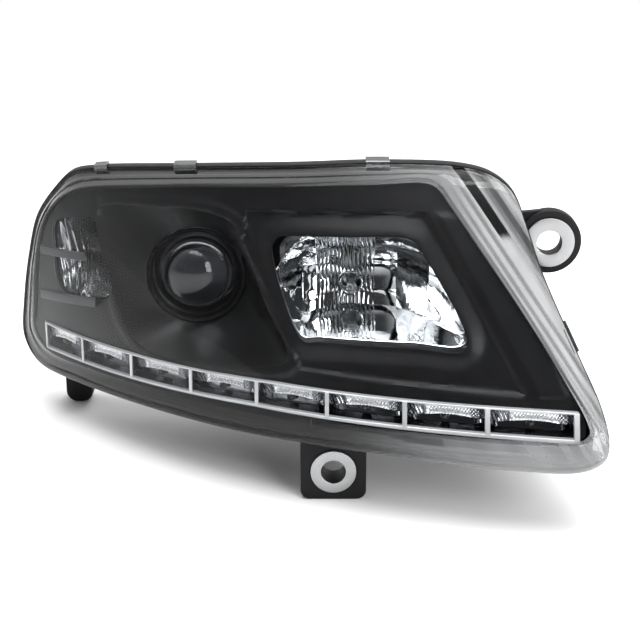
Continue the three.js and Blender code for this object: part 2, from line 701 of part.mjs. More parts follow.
function cover(at, neck, ribs) {
  const shell = turned(at, [
    [0, BACK + 13.5], [neck + 0.6, BACK + 13.5], [neck + 0.6, BACK + 3],
    [neck + 3.4, BACK + 3], [neck + 3.4, BACK + 15], [neck + 1, BACK + 17], [0, BACK + 17],
  ], 28);
  const grips = Array.from({ length: ribs }, (_, i) => {
    const a = (i / ribs) * Math.PI * 2;
    return disc([at[0] + (neck + 3) * Math.cos(a), at[1] + (neck + 3) * Math.sin(a)], 3,
      BACK + 4, BACK + 15, 6);
  });
  const grip = block(at[0], at[1], neck * 1.3, 9, 3, BACK + 16, BACK + 23);
  return joined(shell, ...grips, grip).subtract(disc(at, neck + 0.6, BACK, BACK + 13.5, 28));
}

const coverSeal = (at, port, neck) => tube(at, port + 0.5, neck - 0.2, BACK + 9.4, BACK + 13.1, 28);

function connector() {
  const flange = block(165, 112, 52, 34, 4, BACK + 0.4, BACK + 4);
  const plug = block(165, 112, 39, 21, 2.6, BACK - 12, BACK + 1);
  const shroud = block(165, 112, 44, 26, 4, BACK + 3, BACK + 22);
  const cavity = block(165, 112, 38, 20, 3, BACK + 8, BACK + 40);
  return cut(joined(flange, plug, shroud), cavity);
}

const driverBox = () => joined(
  block(196, 172, 46, 44, 4, BACK + 0.4, BACK + 12),
  block(196, 190, 24, 8, 1, BACK + 10, BACK + 18));

const vent = (x, z) => joined(
  disc([x, z], 8, BACK + 0.4, BACK + 11, 12),
  bar(V(x, BACK + 6, z), V(x, BACK + 6, z - 16), 5, 10));

// ---- brackets' bushes and clips ----

const bush = (at, outer, inner, y0, y1) => turned(at, [
  [inner, y0], [outer + 1.2, y0], [outer + 1.2, y0 + 1.6], [outer, y0 + 1.6],
  [outer, y1], [inner, y1], [inner, y0],
], 20);

function rimAt(u) {
  const i = Math.floor(u);
  const [a, b] = [rimLoop[i], rimLoop[i + 1]];
  const point = a.clone().lerp(b, u - i);
  return { point, way: u === i ? b.clone().sub(rimLoop[i - 1]) : b.clone().sub(a) };
}

// A spring clip hugging the rim at the given positions along its loop.
function clip(...positions) {
  const profile = [
    [-0.9, -2.4], [-0.9, 0.5], [-0.4, 1], [CHANNEL + 0.4, 1], [CHANNEL + 0.9, 0.5],
    [CHANNEL + 0.9, -5], [CHANNEL + 1.9, -5], [CHANNEL + 1.9, 1.2], [CHANNEL + 1, 2.1],
    [-1, 2.1], [-1.9, 1.2], [-1.9, -2.4],
  ];
  const rings = positions.map((u) => {
    const { point, way } = rimAt(u);
    const length = Math.hypot(way.x, way.z);
    const [nx, nz] = [-way.z / length, way.x / length];
    return profile.map(([b, c]) => V(point.x + nx * c, point.y + b, point.z + nz * c));
  });
  return loft(rings, profile.map(([b, c]) => new THREE.Vector2(b, c)));
}

// ---- assembly ----

const headlight = new THREE.Group();

function add(name, body, color, extra = {}) {
  const material = new THREE.MeshStandardMaterial({ color, ...extra });
  const mesh = new THREE.Mesh(toGeometry(body), material);
  mesh.name = name;
  headlight.add(mesh);
}

const CLEAR = { transparent: true, opacity: 0.25, roughness: 0.05 };
const CHROME = { metalness: 1, roughness: 0.08 };
const STEEL = { metalness: 1, roughness: 0.35 };

add('housing', housing(), 0x1b1c1e);
add('low_beam_collar', collar(PROJECTOR, 50, 54, 60), 0x1b1c1e);
add('high_beam_collar', collar(HIGH_BEAM, 38, 42, 50), 0x1b1c1e);
add('lens_seal', lensSeal(), 0x303030);
add('outer_lens', outerLens(), 0xe8eef0, CLEAR);
add('bezel', bezel(), 0x202124);
add('marker_blade_upper', blade(-268, -211, 186.5, 195.5, 8), 0x6c7074, CHROME);
add('marker_blade_lower', blade(-270, -199, 137, 151.5, 9), 0x6c7074, CHROME);
add('projector_trim_ring', trimRing(), 0x232427);
add('projector_lens', projectorLens(), 0xdfe8ee, CLEAR);
add('projector_lens_ring', lensRing(), 0x3a3b3d, STEEL);
add('projector_holder', projectorHolder(), 0x55585b, STEEL);
add('projector_bowl', projectorBowl(), 0xc8ccd0, CHROME);
add('cutoff_shield', cutoffShield(), 0x77797c, STEEL);
add('low_beam_bulb', capsuleBulb(PROJECTOR, 96, 126.4, 11.6), 0xd8dde2, CLEAR);
add('low_beam_bail', bulbBail(PROJECTOR, 130.6), 0x9a9c9f, STEEL);
add('high_beam_reflector', highBeamReflector(), 0xd5d8dc, CHROME);
add('high_beam_bulb', capsuleBulb(HIGH_BEAM, -2, 64.4, 10.8), 0xd8dde2, CLEAR);
add('high_beam_bail', bulbBail(HIGH_BEAM, 68.6), 0x9a9c9f, STEEL);
add('parking_bulb', wedgeBulb(PARKING, -12, 11), 0xd8dde2, CLEAR);
add('parking_holder', parkingHolder(), 0x2a2b2d);
add('indicator_reflector', indicatorReflector(), 0xd0d3d6, CHROME);
add('indicator_lens', indicatorLens(), 0xe0e4e8, CLEAR);
add('indicator_bulb', indicatorBulb(), 0xd98a2b, CLEAR);
add('indicator_holder', indicatorHolder(), 0x2a2b2d);
add('strip_frame', stripFrame(), 0xc9ccd0, CHROME);
add('strip_cells', stripCells(), 0x3c3e42, CHROME);
add('strip_board', stripBoard(), 0x1d3a2a);
eachCell((left, right, i) =>
  add(`strip_emitter_${i + 1}`, emitter(left, right), 0xf2efd8));
add('strip_driver', driverBox(), 0x8c8f93, STEEL);
add('aim_frame', aimFrame(), 0x47494c);
add('optics_carrier', carrier(), 0x3a3c3f);
add('swing_pin_upper', swingPin(263, 282), 0xa8abae, STEEL);
add('swing_pin_lower', swingPin(93, 113), 0xa8abae, STEEL);
add('tilt_pin_outer', tiltPin(-149, -128), 0xa8abae, STEEL);
add('tilt_pin_inner', tiltPin(156, 177), 0xa8abae, STEEL);
add('vertical_adjuster', adjuster(TILT_SCREW, 46), 0xe8e4d8);
add('horizontal_adjuster', adjuster(SWING_SCREW, 44), 0xe8e4d8);
add('levelling_motor', levellingMotor(), 0x2b2c2e);
add('levelling_plunger', levellingPlunger(), 0xd9d6cc);
add('low_beam_cover', cover(PROJECTOR, 54, 12), 0x17181a);
add('low_beam_cover_seal', coverSeal(PROJECTOR, 50, 54), 0x3d3d3d);
add('high_beam_cover', cover(HIGH_BEAM, 42, 10), 0x17181a);
add('high_beam_cover_seal', coverSeal(HIGH_BEAM, 38, 42), 0x3d3d3d);
add('main_connector', connector(), 0x222326);
add('vent_cap_outer', vent(-158, 122), 0x26272a);
add('vent_cap_inner', vent(196, 140), 0x26272a);
add('upper_bush', bush(UPPER_TAB, 23, 12, -59.4, -43), 0xa9abad, STEEL);
add('lower_bush', bush(LOWER_BRACKET, 21, 12, -114.8, -86), 0x8f9193, STEEL);
add('lens_clip_outer', clip(12.04, 12.4), 0xc4c7ca, STEEL);
add('lens_clip_middle', clip(13.75, 14, 14.17), 0xc4c7ca, STEEL);
add('lens_clip_inner', clip(17.7, 18, 18.28), 0xc4c7ca, STEEL);
add('lens_clip_side', clip(30.75, 31, 31.6), 0xc4c7ca, STEEL);

export default headlight;
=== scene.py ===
"""Looks of the car headlight assembly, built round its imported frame."""
import json
import math

import bmesh
import bpy
import numpy as np
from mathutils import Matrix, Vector

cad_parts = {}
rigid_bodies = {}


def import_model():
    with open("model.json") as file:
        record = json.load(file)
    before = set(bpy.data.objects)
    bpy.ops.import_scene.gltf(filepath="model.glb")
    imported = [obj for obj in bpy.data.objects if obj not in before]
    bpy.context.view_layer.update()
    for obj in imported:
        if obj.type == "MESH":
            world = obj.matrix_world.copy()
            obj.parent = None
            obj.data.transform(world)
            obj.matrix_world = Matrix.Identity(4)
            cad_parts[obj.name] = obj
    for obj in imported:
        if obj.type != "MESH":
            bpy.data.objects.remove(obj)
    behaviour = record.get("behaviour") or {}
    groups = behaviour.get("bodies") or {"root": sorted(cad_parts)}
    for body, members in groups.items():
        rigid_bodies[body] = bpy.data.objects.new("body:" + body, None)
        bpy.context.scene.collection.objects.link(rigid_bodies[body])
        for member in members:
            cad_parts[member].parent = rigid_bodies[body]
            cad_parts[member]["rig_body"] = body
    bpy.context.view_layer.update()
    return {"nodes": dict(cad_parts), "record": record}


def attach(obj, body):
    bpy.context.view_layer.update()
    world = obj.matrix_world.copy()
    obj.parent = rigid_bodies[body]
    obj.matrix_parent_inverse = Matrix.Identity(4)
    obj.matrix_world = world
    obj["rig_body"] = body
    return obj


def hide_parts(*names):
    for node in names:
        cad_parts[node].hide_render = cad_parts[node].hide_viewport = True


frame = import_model()

# ---- driving dimensions, the same as the frame's, in millimetres ----

# The swept face: y of its most forward line, x where the sweep starts, bulge up and down.
FRONT, INNER, CROWN = -195.0, 309.0, 8.0
LENS_WALL = 2.6
# Housing: y of the back wall's outside, wall, depth of the rim channel, groove for the lens
# and lip as insets from the rim, and how far the body narrows towards the back.
BACK = 172.0
HOUSING_WALL = 3.0
CHANNEL = 16.0
GROOVE = (3.0, 8.0)
LIP = 10.5
TAPER, TOP_TAPER = 0.17, 0.33
# The bezel's distance behind the face and its wall.
BEZEL_BACK = 14.0
BEZEL_WALL = 2.2
STEPS = 8
THROUGH = 300
# Places as x, z.
CENTRE = (-10.0, 185.0)
PROJECTOR = (-91.0, 190.0)
HIGH_BEAM = (66.0, 179.0)
PARKING = (70.0, 141.0)
INDICATOR = (-208.0, 188.0)
SWING_X, PIVOT_Y = 15.0, 60.5
MOTOR = (SWING_X, 124)
TILT_SCREW = (-20.0, 233.0)
SWING_SCREW = (172.5, 225.0)
MAIN_PLUG = (165, 112)
UPPER_TAB = (253.0, 245.5)
LOWER_BRACKET = (47.0, 30.5)
# Face edge x, z; rim x, z; how far the rim lies behind the face.
STATIONS = np.array([
    (-281.5, 92, -299.5, 76, 10), (-281, 125, -296, 120, 12), (-276, 172, -287, 170, 15),
    (-265, 215, -274, 218, 22), (-246, 245, -250, 252, 29), (-222, 263, -230, 271, 34),
    (-196, 272, -204, 280, 37), (-100, 289, -100, 296, 42), (15, 300, 14, 306.3, 44),
    (90, 305.5, 90, 311.5, 44), (134, 308, 172, 310.7, 41), (147, 303, 200, 305, 34),
    (160, 287, 219, 291, 30), (190, 247, 230, 264, 30), (214, 215, 242, 229, 30),
    (236, 184, 256, 197, 30), (261, 146, 277, 153, 28), (280, 114, 293, 118, 21),
    (283, 102, 298.5, 92, 15), (275, 93, 295, 79, 11), (255, 90, 276, 68, 9),
    (190, 88, 205, 63.5, 9), (100, 87.5, 100, 65, 9), (-28, 88, -30, 62.5, 9),
    (-110, 84.5, -115, 60, 9), (-205, 79, -218, 54.5, 9), (-266, 77, -282, 54, 9),
])
LOW_STATIONS = {0, 19, 20, 21, 22, 23, 24, 25, 26}
STRIP_DIVIDERS = (-217.5, -159.5, -94.5, -27.5, 40.5, 113, 188.5)
STRIP_ENDS = (-266.0, 270.0)
HIGH_OPENING = (
    (-6, 248), (6, 250.5), (60, 253), (113, 255), (124, 251), (130, 243), (170, 165),
    (120, 162), (34, 159), (18, 158), (-3, 200), (-12, 233), (-11, 241),
)
WELL = (
    (-194, 247), (-136, 260), (-84, 264), (-50, 255), (-38, 234), (-20, 190), (3, 138),
    (-60, 125), (-138, 117), (-163, 134), (-182, 186), (-191, 222),
)
INDICATOR_OPENING = (
    (-247, 220), (-228, 231), (-199, 236), (-193, 211), (-181, 164), (-221, 146),
    (-244, 155), (-249, 190),
)


def mix(a, b, t):
    return a + (b - a) * t


def ramp(v, low, high):
    t = np.clip((v - low) / (high - low), 0, 1)
    return t * t * (3 - 2 * t)


def face_y(x, z):
    out = np.maximum(INNER - x, -60)
    rake = mix(0.6, 0.16, np.clip(out / 551, 0, 1))
    bow = CROWN * (((z - 190) / 100) ** 2 - 1)
    return FRONT + 0.16 * out + 1.03e-6 * out**3 + rake * (z - 93) + bow


# ---- loops: arrays of points x, y, z ----

def smooth_loop(points, steps):
    """A closed centripetal Catmull-Rom line through the points."""
    p = np.asarray(points, float)
    p0, p2, p3 = np.roll(p, 1, 0), np.roll(p, -1, 0), np.roll(p, -2, 0)
    gap = [np.sqrt(np.linalg.norm(b - a, axis=1))[:, None]
           for a, b in ((p0, p), (p, p2), (p2, p3))]
    t1 = ((p - p0) / gap[0] - (p2 - p0) / (gap[0] + gap[1]) + (p2 - p) / gap[1]) * gap[1]
    t2 = ((p2 - p) / gap[1] - (p3 - p) / (gap[1] + gap[2]) + (p3 - p2) / gap[2]) * gap[1]
    out = []
    for k in range(steps):
        s = k / steps
        c2 = -3 * p + 3 * p2 - 2 * t1 - t2
        c3 = 2 * p - 2 * p2 + t1 + t2
        out.append(p + t1 * s + c2 * s * s + c3 * s**3)
    return np.stack(out, 1).reshape(-1, 3)


def flat_loop(outline):
    return np.array([(x, 0.0, z) for x, z in outline])


def inset(loop, distance, reach=1):
    """Moves each point towards the inside of the loop, in the x-z plane."""
    q = np.roll(loop, -1, 0)
    side = np.sign(np.sum(loop[:, 0] * q[:, 2] - q[:, 0] * loop[:, 2]))
    way = np.roll(loop, -reach, 0) - np.roll(loop, reach, 0)
    length = np.hypot(way[:, 0], way[:, 2])
    out = loop.copy()
    out[:, 0] -= way[:, 2] / length * side * distance
    out[:, 2] += way[:, 0] / length * side * distance
    return out


def circle_under(loop, at, radius):
    """A circle with one point on the way from its centre to each point of the loop."""
    a = np.arctan2(loop[:, 2] - at[1], loop[:, 0] - at[0])
    return np.stack((at[0] + radius * np.cos(a), 0 * a, at[1] + radius * np.sin(a)), 1)


def on_face(loop, back):
    out = loop.copy()
    out[:, 1] = face_y(loop[:, 0], loop[:, 2]) + back
    return out


def shifted(loop, back):
    return loop + np.array((0.0, 1.0, 0.0)) * np.asarray(back)[..., None]


def towards_centre(loop, t):
    out = loop.copy()
    out[:, 0] = mix(CENTRE[0], loop[:, 0], t)
    out[:, 2] = mix(CENTRE[1], loop[:, 2], t)
    return out


REACH = STEPS // 2
edge_loop = smooth_loop([(s[0], 0, s[1]) for s in STATIONS], STEPS)
rim_loop = smooth_loop([(s[2], face_y(s[2], s[3]) + s[4], s[3]) for s in STATIONS], STEPS)


def edge_in(distance):
    return inset(edge_loop, distance, REACH)


def rim_in(distance):
    return inset(rim_loop, distance, REACH)


def depth_inside(x, z, outline):
    """Distance inside a polygon, negative outside."""
    p = np.stack((np.ravel(x), np.ravel(z)), 1)
    q = np.array(outline, float)[:, (0, -1)]
    best = np.full(len(p), 1e9)
    inside = np.zeros(len(p), bool)
    for a, b in zip(q, np.roll(q, -1, 0)):
        e, w = b - a, p - a
        t = np.clip(w @ e / (e @ e), 0, 1)
        best = np.minimum(best, np.linalg.norm(w - t[:, None] * e, axis=1))
        crossing = (a[1] <= p[:, 1]) != (b[1] <= p[:, 1])
        with np.errstate(divide="ignore", invalid="ignore"):
            at = a[0] + (p[:, 1] - a[1]) / (b[1] - a[1]) * e[0]
        inside ^= crossing & (p[:, 0] < at)
    return np.where(inside, best, -best).reshape(np.shape(x))


# ---- meshes: (points, faces) pairs ----

def loft(rings):
    """Faces between closed rings; a one-point ring closes an end in a fan."""
    rings = [np.atleast_2d(ring) for ring in rings]
    points = [tuple(point) for ring in rings for point in ring]
    faces, a = [], 0
    for ring, following in zip(rings, rings[1:]):
        b = a + len(ring)
        count = max(len(ring), len(following))
        for i in range(count):
            j = (i + 1) % count
            if len(ring) == 1:
                faces.append((a, b + j, b + i))
            elif len(following) == 1:
                faces.append((a + i, a + j, b))
            else:
                faces.append((a + i, a + j, b + j, b + i))
        a = b
    return points, faces


def closed_loft(rings):
    return loft([*rings, rings[0]])


def middle(ring):
    return ring.mean(0)[None]


def capped(rings):
    return loft([middle(rings[0]), *rings, middle(rings[-1])])


def merged(*meshes):
    points, faces = [], []
    for p, f in meshes:
        faces += [tuple(i + len(points) for i in face) for face in f]
        points += list(p)
    return points, faces


def prism(loop):
    """An outline drawn out along y, right through the lamp."""
    level = loop * (1, 0, 1)
    points, faces = loft([shifted(level, -THROUGH), shifted(level, THROUGH)])
    count = len(level)
    faces += [tuple(range(count)), tuple(range(2 * count - 1, count - 1, -1))]
    return points, faces


def lathe(at, profile, segments=96):
    """A body turned about a line along y, from [radius, y] points."""
    angles = np.arange(segments) / segments * math.tau
    rings = []
    for r, y in profile:
        if r < 1e-6:
            rings.append(np.array([(at[0], y, at[1])]))
        else:
            rings.append(np.stack((at[0] + r * np.cos(angles), np.full(segments, y),
                                   at[1] + r * np.sin(angles)), 1))
    return loft(rings)


def drill(at, radius, y0, y1, segments=96):
    """A plain cylinder along y."""
    return lathe(at, [(0, y0), (radius, y0), (radius, y1), (0, y1)], segments)


def soft(profile, radius, steps=3):
    """Rounds the corners of an open profile, by less where its sides are short."""
    pts = [np.asarray(p, float) for p in profile]
    out = [pts[0]]
    for a, b, c in zip(pts, pts[1:], pts[2:]):
        la, lc = np.linalg.norm(a - b), np.linalg.norm(c - b)
        r = min(radius, la * 0.45, lc * 0.45)
        start, end = b + (a - b) / la * r, b + (c - b) / lc * r
        out += [mix(mix(start, b, t), mix(b, end, t), t) for t in np.linspace(0, 1, steps + 1)]
    return [*out, pts[-1]]


def turned(at, profile, radius=0.5, segments=96):
    """A turned ring from a closed profile, which gets rounded corners."""
    first, second, *others = [np.array(p, float) for p in profile]
    mid = mix(first, second, 0.5)
    return lathe(at, soft([mid, second, *others, first, mid], radius), segments)


def tube(at, inner, outer, y0, y1, radius, segments=96):
    return turned(at, [(inner, y0), (outer, y0), (outer, y1), (inner, y1)], radius, segments)


def rounded_outline(x, z, width, height, radius, steps=5):
    out = []
    for sx, sz, turn in ((1, 1, 0), (-1, 1, 1), (-1, -1, 2), (1, -1, 3)):
        for k in range(steps + 1):
            a = (turn + k / steps) * math.pi / 2
            out.append((x + sx * (width / 2 - radius) + radius * math.cos(a),
                        z + sz * (height / 2 - radius) + radius * math.sin(a)))
    return out


def plate(outline, y0, y1, ease=1.0):
    """A flat plate over an outline in x-z with eased edges."""
    loop = flat_loop(outline)
    rings = []
    for y, sign in ((y0, 1), (y1, -1)):
        for d, b in ((ease, 0), (ease * 0.3, ease * 0.3), (0, ease))[::sign]:
            rings.append(shifted(inset(loop, d), y + sign * b))
    return capped(rings)


def block(x, z, width, height, radius, y0, y1, bevel=0.7):
    return plate(rounded_outline(x, z, width, height, radius), y0, y1, bevel)


def bar(start, end, radius, segments=24):
    a, b = Vector(start), Vector(end)
    turn = (b - a).to_track_quat("Z", "Y")
    rings = []
    ease = min(radius * 0.2, 0.8)
    length = (b - a).length
    for d, r in ((0, radius - ease), (ease, radius), (length - ease, radius),
                 (length, radius - ease)):
        ring = [a + turn @ Vector((r * math.cos(t), r * math.sin(t), d))
                for t in np.arange(segments) / segments * math.tau]
        rings.append(np.array(ring))
    return capped(rings)


def wire(path, radius, steps=6, segments=12):
    """A round wire along a smooth open line."""
    p = np.asarray(path, float)
    ends = np.concatenate((2 * p[:1] - p[1:2], p, 2 * p[-1:] - p[-2:-1]))
    line = []
    for i in range(1, len(ends) - 2):
        for k in range(steps):
            t = k / steps
            a, b, c, d = ends[i - 1: i + 3]
            line.append(0.5 * (2 * b + (c - a) * t + (2 * a - 5 * b + 4 * c - d) * t * t
                               + (3 * b - a - 3 * c + d) * t**3))
    line = np.array(line + [p[-1]])
    way = np.gradient(line, axis=0)
    way /= np.linalg.norm(way, axis=1)[:, None]
    normal = np.cross(way[0], (0.31, 0.2, 0.93))
    rings = []
    for q, w in zip(line, way):
        normal = normal - w * normal.dot(w)
        normal /= np.linalg.norm(normal)
        other = np.cross(w, normal)
        a = np.arange(segments) / segments * math.tau
        rings.append(q + radius * (np.cos(a)[:, None] * normal + np.sin(a)[:, None] * other))
    return capped(rings)


def to_mesh(name, data):
    mesh = bpy.data.meshes.new(name)
    points, faces = data
    mesh.from_pydata([(x * 0.001, y * 0.001, z * 0.001) for x, y, z in points], [], faces)
    work = bmesh.new()
    work.from_mesh(mesh)
    bmesh.ops.remove_doubles(work, verts=work.verts, dist=1e-6)
    bmesh.ops.dissolve_degenerate(work, edges=work.edges, dist=1e-6)
    bmesh.ops.recalc_face_normals(work, faces=work.faces)
    work.to_mesh(mesh)
    work.free()
    return mesh


def placed(name, data):
    """An object in the scene that shows a mesh, a light or a camera."""
    made = bpy.data.objects.new(name, data)
    bpy.context.scene.collection.objects.link(made)
    return made


def combined(base, *steps):
    """base with tools cut off, added or kept, each step an (operation, tool) pair."""
    shape = placed("work", to_mesh("work", base))
    for operation, tool in steps:
        other = placed("tool", to_mesh("tool", tool))
        change = shape.modifiers.new("change", "BOOLEAN")
        change.operation = operation
        change.solver = "EXACT"
        change.object = other
        bpy.context.view_layer.update()
        done = bpy.data.meshes.new_from_object(
            shape.evaluated_get(bpy.context.evaluated_depsgraph_get()))
        shape.modifiers.remove(change)
        shape.data = done
        bpy.data.objects.remove(other)
    points = [tuple(v.co * 1000) for v in shape.data.vertices]
    faces = [tuple(p.vertices) for p in shape.data.polygons]
    bpy.data.objects.remove(shape)
    return points, faces


def cut(base, *tools):
    return combined(base, *[("DIFFERENCE", tool) for tool in tools])


# ---- materials ----

def socket(node, name):
    return next(s for s in node.inputs if s.name == name and s.enabled)


def add(tree, kind, inputs=None, **settings):
    """A new shader node; each input is a number or another node's output."""
    made = tree.nodes.new("ShaderNode" + kind)
    for name, value in settings.items():
        setattr(made, name, value)
    for name, value in (inputs or {}).items():
        place = made.inputs[name] if isinstance(name, int) else socket(made, name)
        if isinstance(value, bpy.types.NodeSocket):
            tree.links.new(value, place)
        else:
            place.default_value = value
    return made


def spread(tree, value, low, high, start, end, shape="SMOOTHSTEP"):
    """A value's range brought to another range, as a smooth step or a straight line."""
    limits = {"From Min": low, "From Max": high, "To Min": start, "To Max": end}
    made = add(tree, "MapRange", {"Value": value, **limits}, interpolation_type=shape)
    return made.outputs["Result"]


def product(tree, first, second):
    return add(tree, "Math", {0: first, 1: second}, operation="MULTIPLY").outputs[0]


def mixed(tree, share, first, second):
    """Two shaders in one; share is how much of the second one shows."""
    return add(tree, "MixShader", {0: share, 1: first.outputs[0], 2: second.outputs[0]})


def show(tree, shader):
    tree.links.new(shader.outputs[0], tree.nodes["Material Output"].inputs["Surface"])


def object_coords(tree):
    return next(n for n in tree.nodes if n.type == "TEX_COORD").outputs["Object"]


def noise_range(tree, scale, low, high, detail=3.0):
    inputs = {"Vector": object_coords(tree), "Scale": scale, "Detail": detail}
    noise = add(tree, "TexNoise", inputs)
    return spread(tree, noise.outputs["Fac"], 0.3, 0.7, low, high, "LINEAR")


GRAIN_DEPTH, WAVE_DEPTH = 0.00008, 0.0015


def material(name, color, rough, metal=0.0, tone=0.15, tone_scale=25, swing=0.06,
             grain=0.0, grain_scale=1500, wave=0.0, wave_scale=60, **extra):
    """A solid surface: uneven tone and roughness, fine grain and slow waviness."""
    made = bpy.data.materials.new(name)
    made.use_nodes = True
    tree = made.node_tree
    shader = tree.nodes["Principled BSDF"]
    add(tree, "TexCoord")
    dark = (*[c * (1 - tone) for c in color], 1)
    light = (*[min(c * (1 + tone), 1) for c in color], 1)
    share = noise_range(tree, tone_scale, 0, 1)
    blend = add(tree, "Mix", {"Factor": share, "A": dark, "B": light}, data_type="RGBA")
    tree.links.new(next(o for o in blend.outputs if o.enabled), shader.inputs["Base Color"])
    polish = noise_range(tree, tone_scale * 3, max(rough - swing, 0.0), min(rough + swing, 1))
    tree.links.new(polish, shader.inputs["Roughness"])
    shader.inputs["Metallic"].default_value = metal
    for key, value in extra.items():
        shader.inputs[key.replace("_", " ")].default_value = value
    normal = None
    for strength, scale, depth in ((grain, grain_scale, GRAIN_DEPTH),
                                   (wave, wave_scale, WAVE_DEPTH)):
        if strength:
            height = noise_range(tree, scale, 0, 1, 2.0)
            bump = add(tree, "Bump", {"Strength": strength, "Distance": depth, "Height": height})
            if normal:
                tree.links.new(normal, bump.inputs["Normal"])
            normal = bump.outputs["Normal"]
            tree.links.new(normal, shader.inputs["Normal"])
    return made


def clear(name, tint, body, body_color, ior=1.33, rough=0.02, tone_scale=20):
    """Clear plastic or glass that doesn't bend what is behind it."""
    made = material(name, body_color, max(rough, 0.08), tone=0.1, tone_scale=tone_scale)
    tree = made.node_tree
    see = add(tree, "BsdfTransparent", {"Color": (*tint, 1)})
    polish = noise_range(tree, tone_scale, rough * 0.5, rough * 1.5)
    gloss = add(tree, "BsdfGlossy", {"Color": (1, 1, 1, 1), "Roughness": polish})
    fresnel = add(tree, "Fresnel", {"IOR": ior})
    behind = add(tree, "NewGeometry").outputs["Backfacing"]
    front = add(tree, "Math", {0: 1, 1: behind}, operation="SUBTRACT")
    solid = mixed(tree, body, see, tree.nodes["Principled BSDF"])
    share = product(tree, fresnel.outputs["Fac"], front.outputs[0])
    show(tree, mixed(tree, share, solid, gloss))
    return made


def glass(name, tint, rough=0.01):
    """Thick glass that bends light, and lets lamps through to what is behind it."""
    made = material(name, tint, rough, tone=0.03, swing=0.008, Transmission_Weight=1.0,
                    IOR=1.5)
    tree = made.node_tree
    see = add(tree, "BsdfTransparent", {"Color": (*tint, 1)})
    shadow = add(tree, "LightPath").outputs["Is Shadow Ray"]
    show(tree, mixed(tree, shadow, tree.nodes["Principled BSDF"], see))
    return made


FINISHES = {}


def add_finish(name, *look, make=material, **more):
    FINISHES[name] = make(name, *look, **more)


add_finish("black_plastic", (0.007, 0.007, 0.008), 0.48, grain=0.4, grain_scale=2200, wave=0.05,
       Specular_IOR_Level=0.15)
add_finish("sealant", (0.02, 0.02, 0.021), 0.7, grain=0.3)
add_finish("clear_lens", (0.95, 0.955, 0.96), 0.0, (0.8, 0.8, 0.82), 1.26, 0.012, make=clear)
add_finish("bezel_black", (0.008, 0.008, 0.0085), 0.34, swing=0.05, Specular_IOR_Level=0.22)
add_finish("dark_chrome", (0.27, 0.275, 0.29), 0.13, 1.0, grain=0.15, grain_scale=1200, wave=0.06,
       wave_scale=120)
# The projector glass is tinted grey, painted shade that keeps the lens dark.
add_finish("projector_glass", (0.36, 0.375, 0.4), make=glass)
add_finish("steel", (0.42, 0.425, 0.43), 0.3, 1.0, grain=0.3, grain_scale=900)
add_finish("black_steel", (0.01, 0.01, 0.011), 0.46, tone=0.2, grain=0.2, Specular_IOR_Level=0.22)
add_finish("cast_alloy", (0.4, 0.41, 0.42), 0.5, 1.0, grain=0.8, grain_scale=700)
add_finish("reflector_chrome", (0.85, 0.86, 0.87), 0.05, 1.0, tone=0.04, swing=0.03, wave=0.05,
       wave_scale=90)
# The capsules' glass gets a milky grey share, a painted highlight that makes them look light grey.
add_finish("bulb_glass", (0.86, 0.88, 0.9), 0.2, (0.75, 0.76, 0.78), 1.5, 0.01, make=clear)
add_finish("grey_plastic", (0.05, 0.051, 0.054), 0.5, grain=0.4)
add_finish("amber_glass", (0.72, 0.6, 0.48), 0.1, (0.3, 0.22, 0.14), 1.5, 0.01, make=clear)
add_finish("board", (0.02, 0.06, 0.035), 0.45, grain=0.4, grain_scale=500)
add_finish("pale_plastic", (0.62, 0.6, 0.54), 0.45, tone=0.06, grain=0.2)
add_finish("cover_black", (0.012, 0.012, 0.013), 0.42, grain=0.5, grain_scale=1800)
add_finish("rubber", (0.022, 0.022, 0.023), 0.75, grain=0.6, grain_scale=1200)
add_finish("zinc", (0.5, 0.51, 0.52), 0.32, 1.0, grain=0.4, grain_scale=700, tone_scale=140, tone=0.18)
add_finish("spring_steel", (0.14, 0.142, 0.145), 0.3, 1.0, grain=0.2, wave=0.1, wave_scale=80)
add_finish("emitter", (0.04, 0.04, 0.036), 0.2, tone=0.2)
# Finishes of single pieces, in place of their slot's.
add_finish("lens_wall", (0.74, 0.75, 0.76), 0.07, (0.5, 0.505, 0.51), 1.33, 0.03, make=clear)
add_finish("indicator_chrome", (0.5, 0.505, 0.51), 0.07, 1.0, tone=0.06, swing=0.03)
add_finish("satin_silver", (0.62, 0.625, 0.63), 0.34, 0.45, tone=0.06)
add_finish("blade_grey", (0.045, 0.045, 0.047), 0.4, tone=0.1, grain=0.1)
# A painted highlight for the lips and dimpled fields of the strip's cells.
add_finish("cell_bright", (0.72, 0.725, 0.73), 0.24, 0.7, tone=0.1, tone_scale=200)
add_finish("washer", (0.34, 0.343, 0.347), 0.3, 1.0, grain=0.2, tone=0.06)
ACROSS_SLANT = (0.84, 0.1, 0.547)


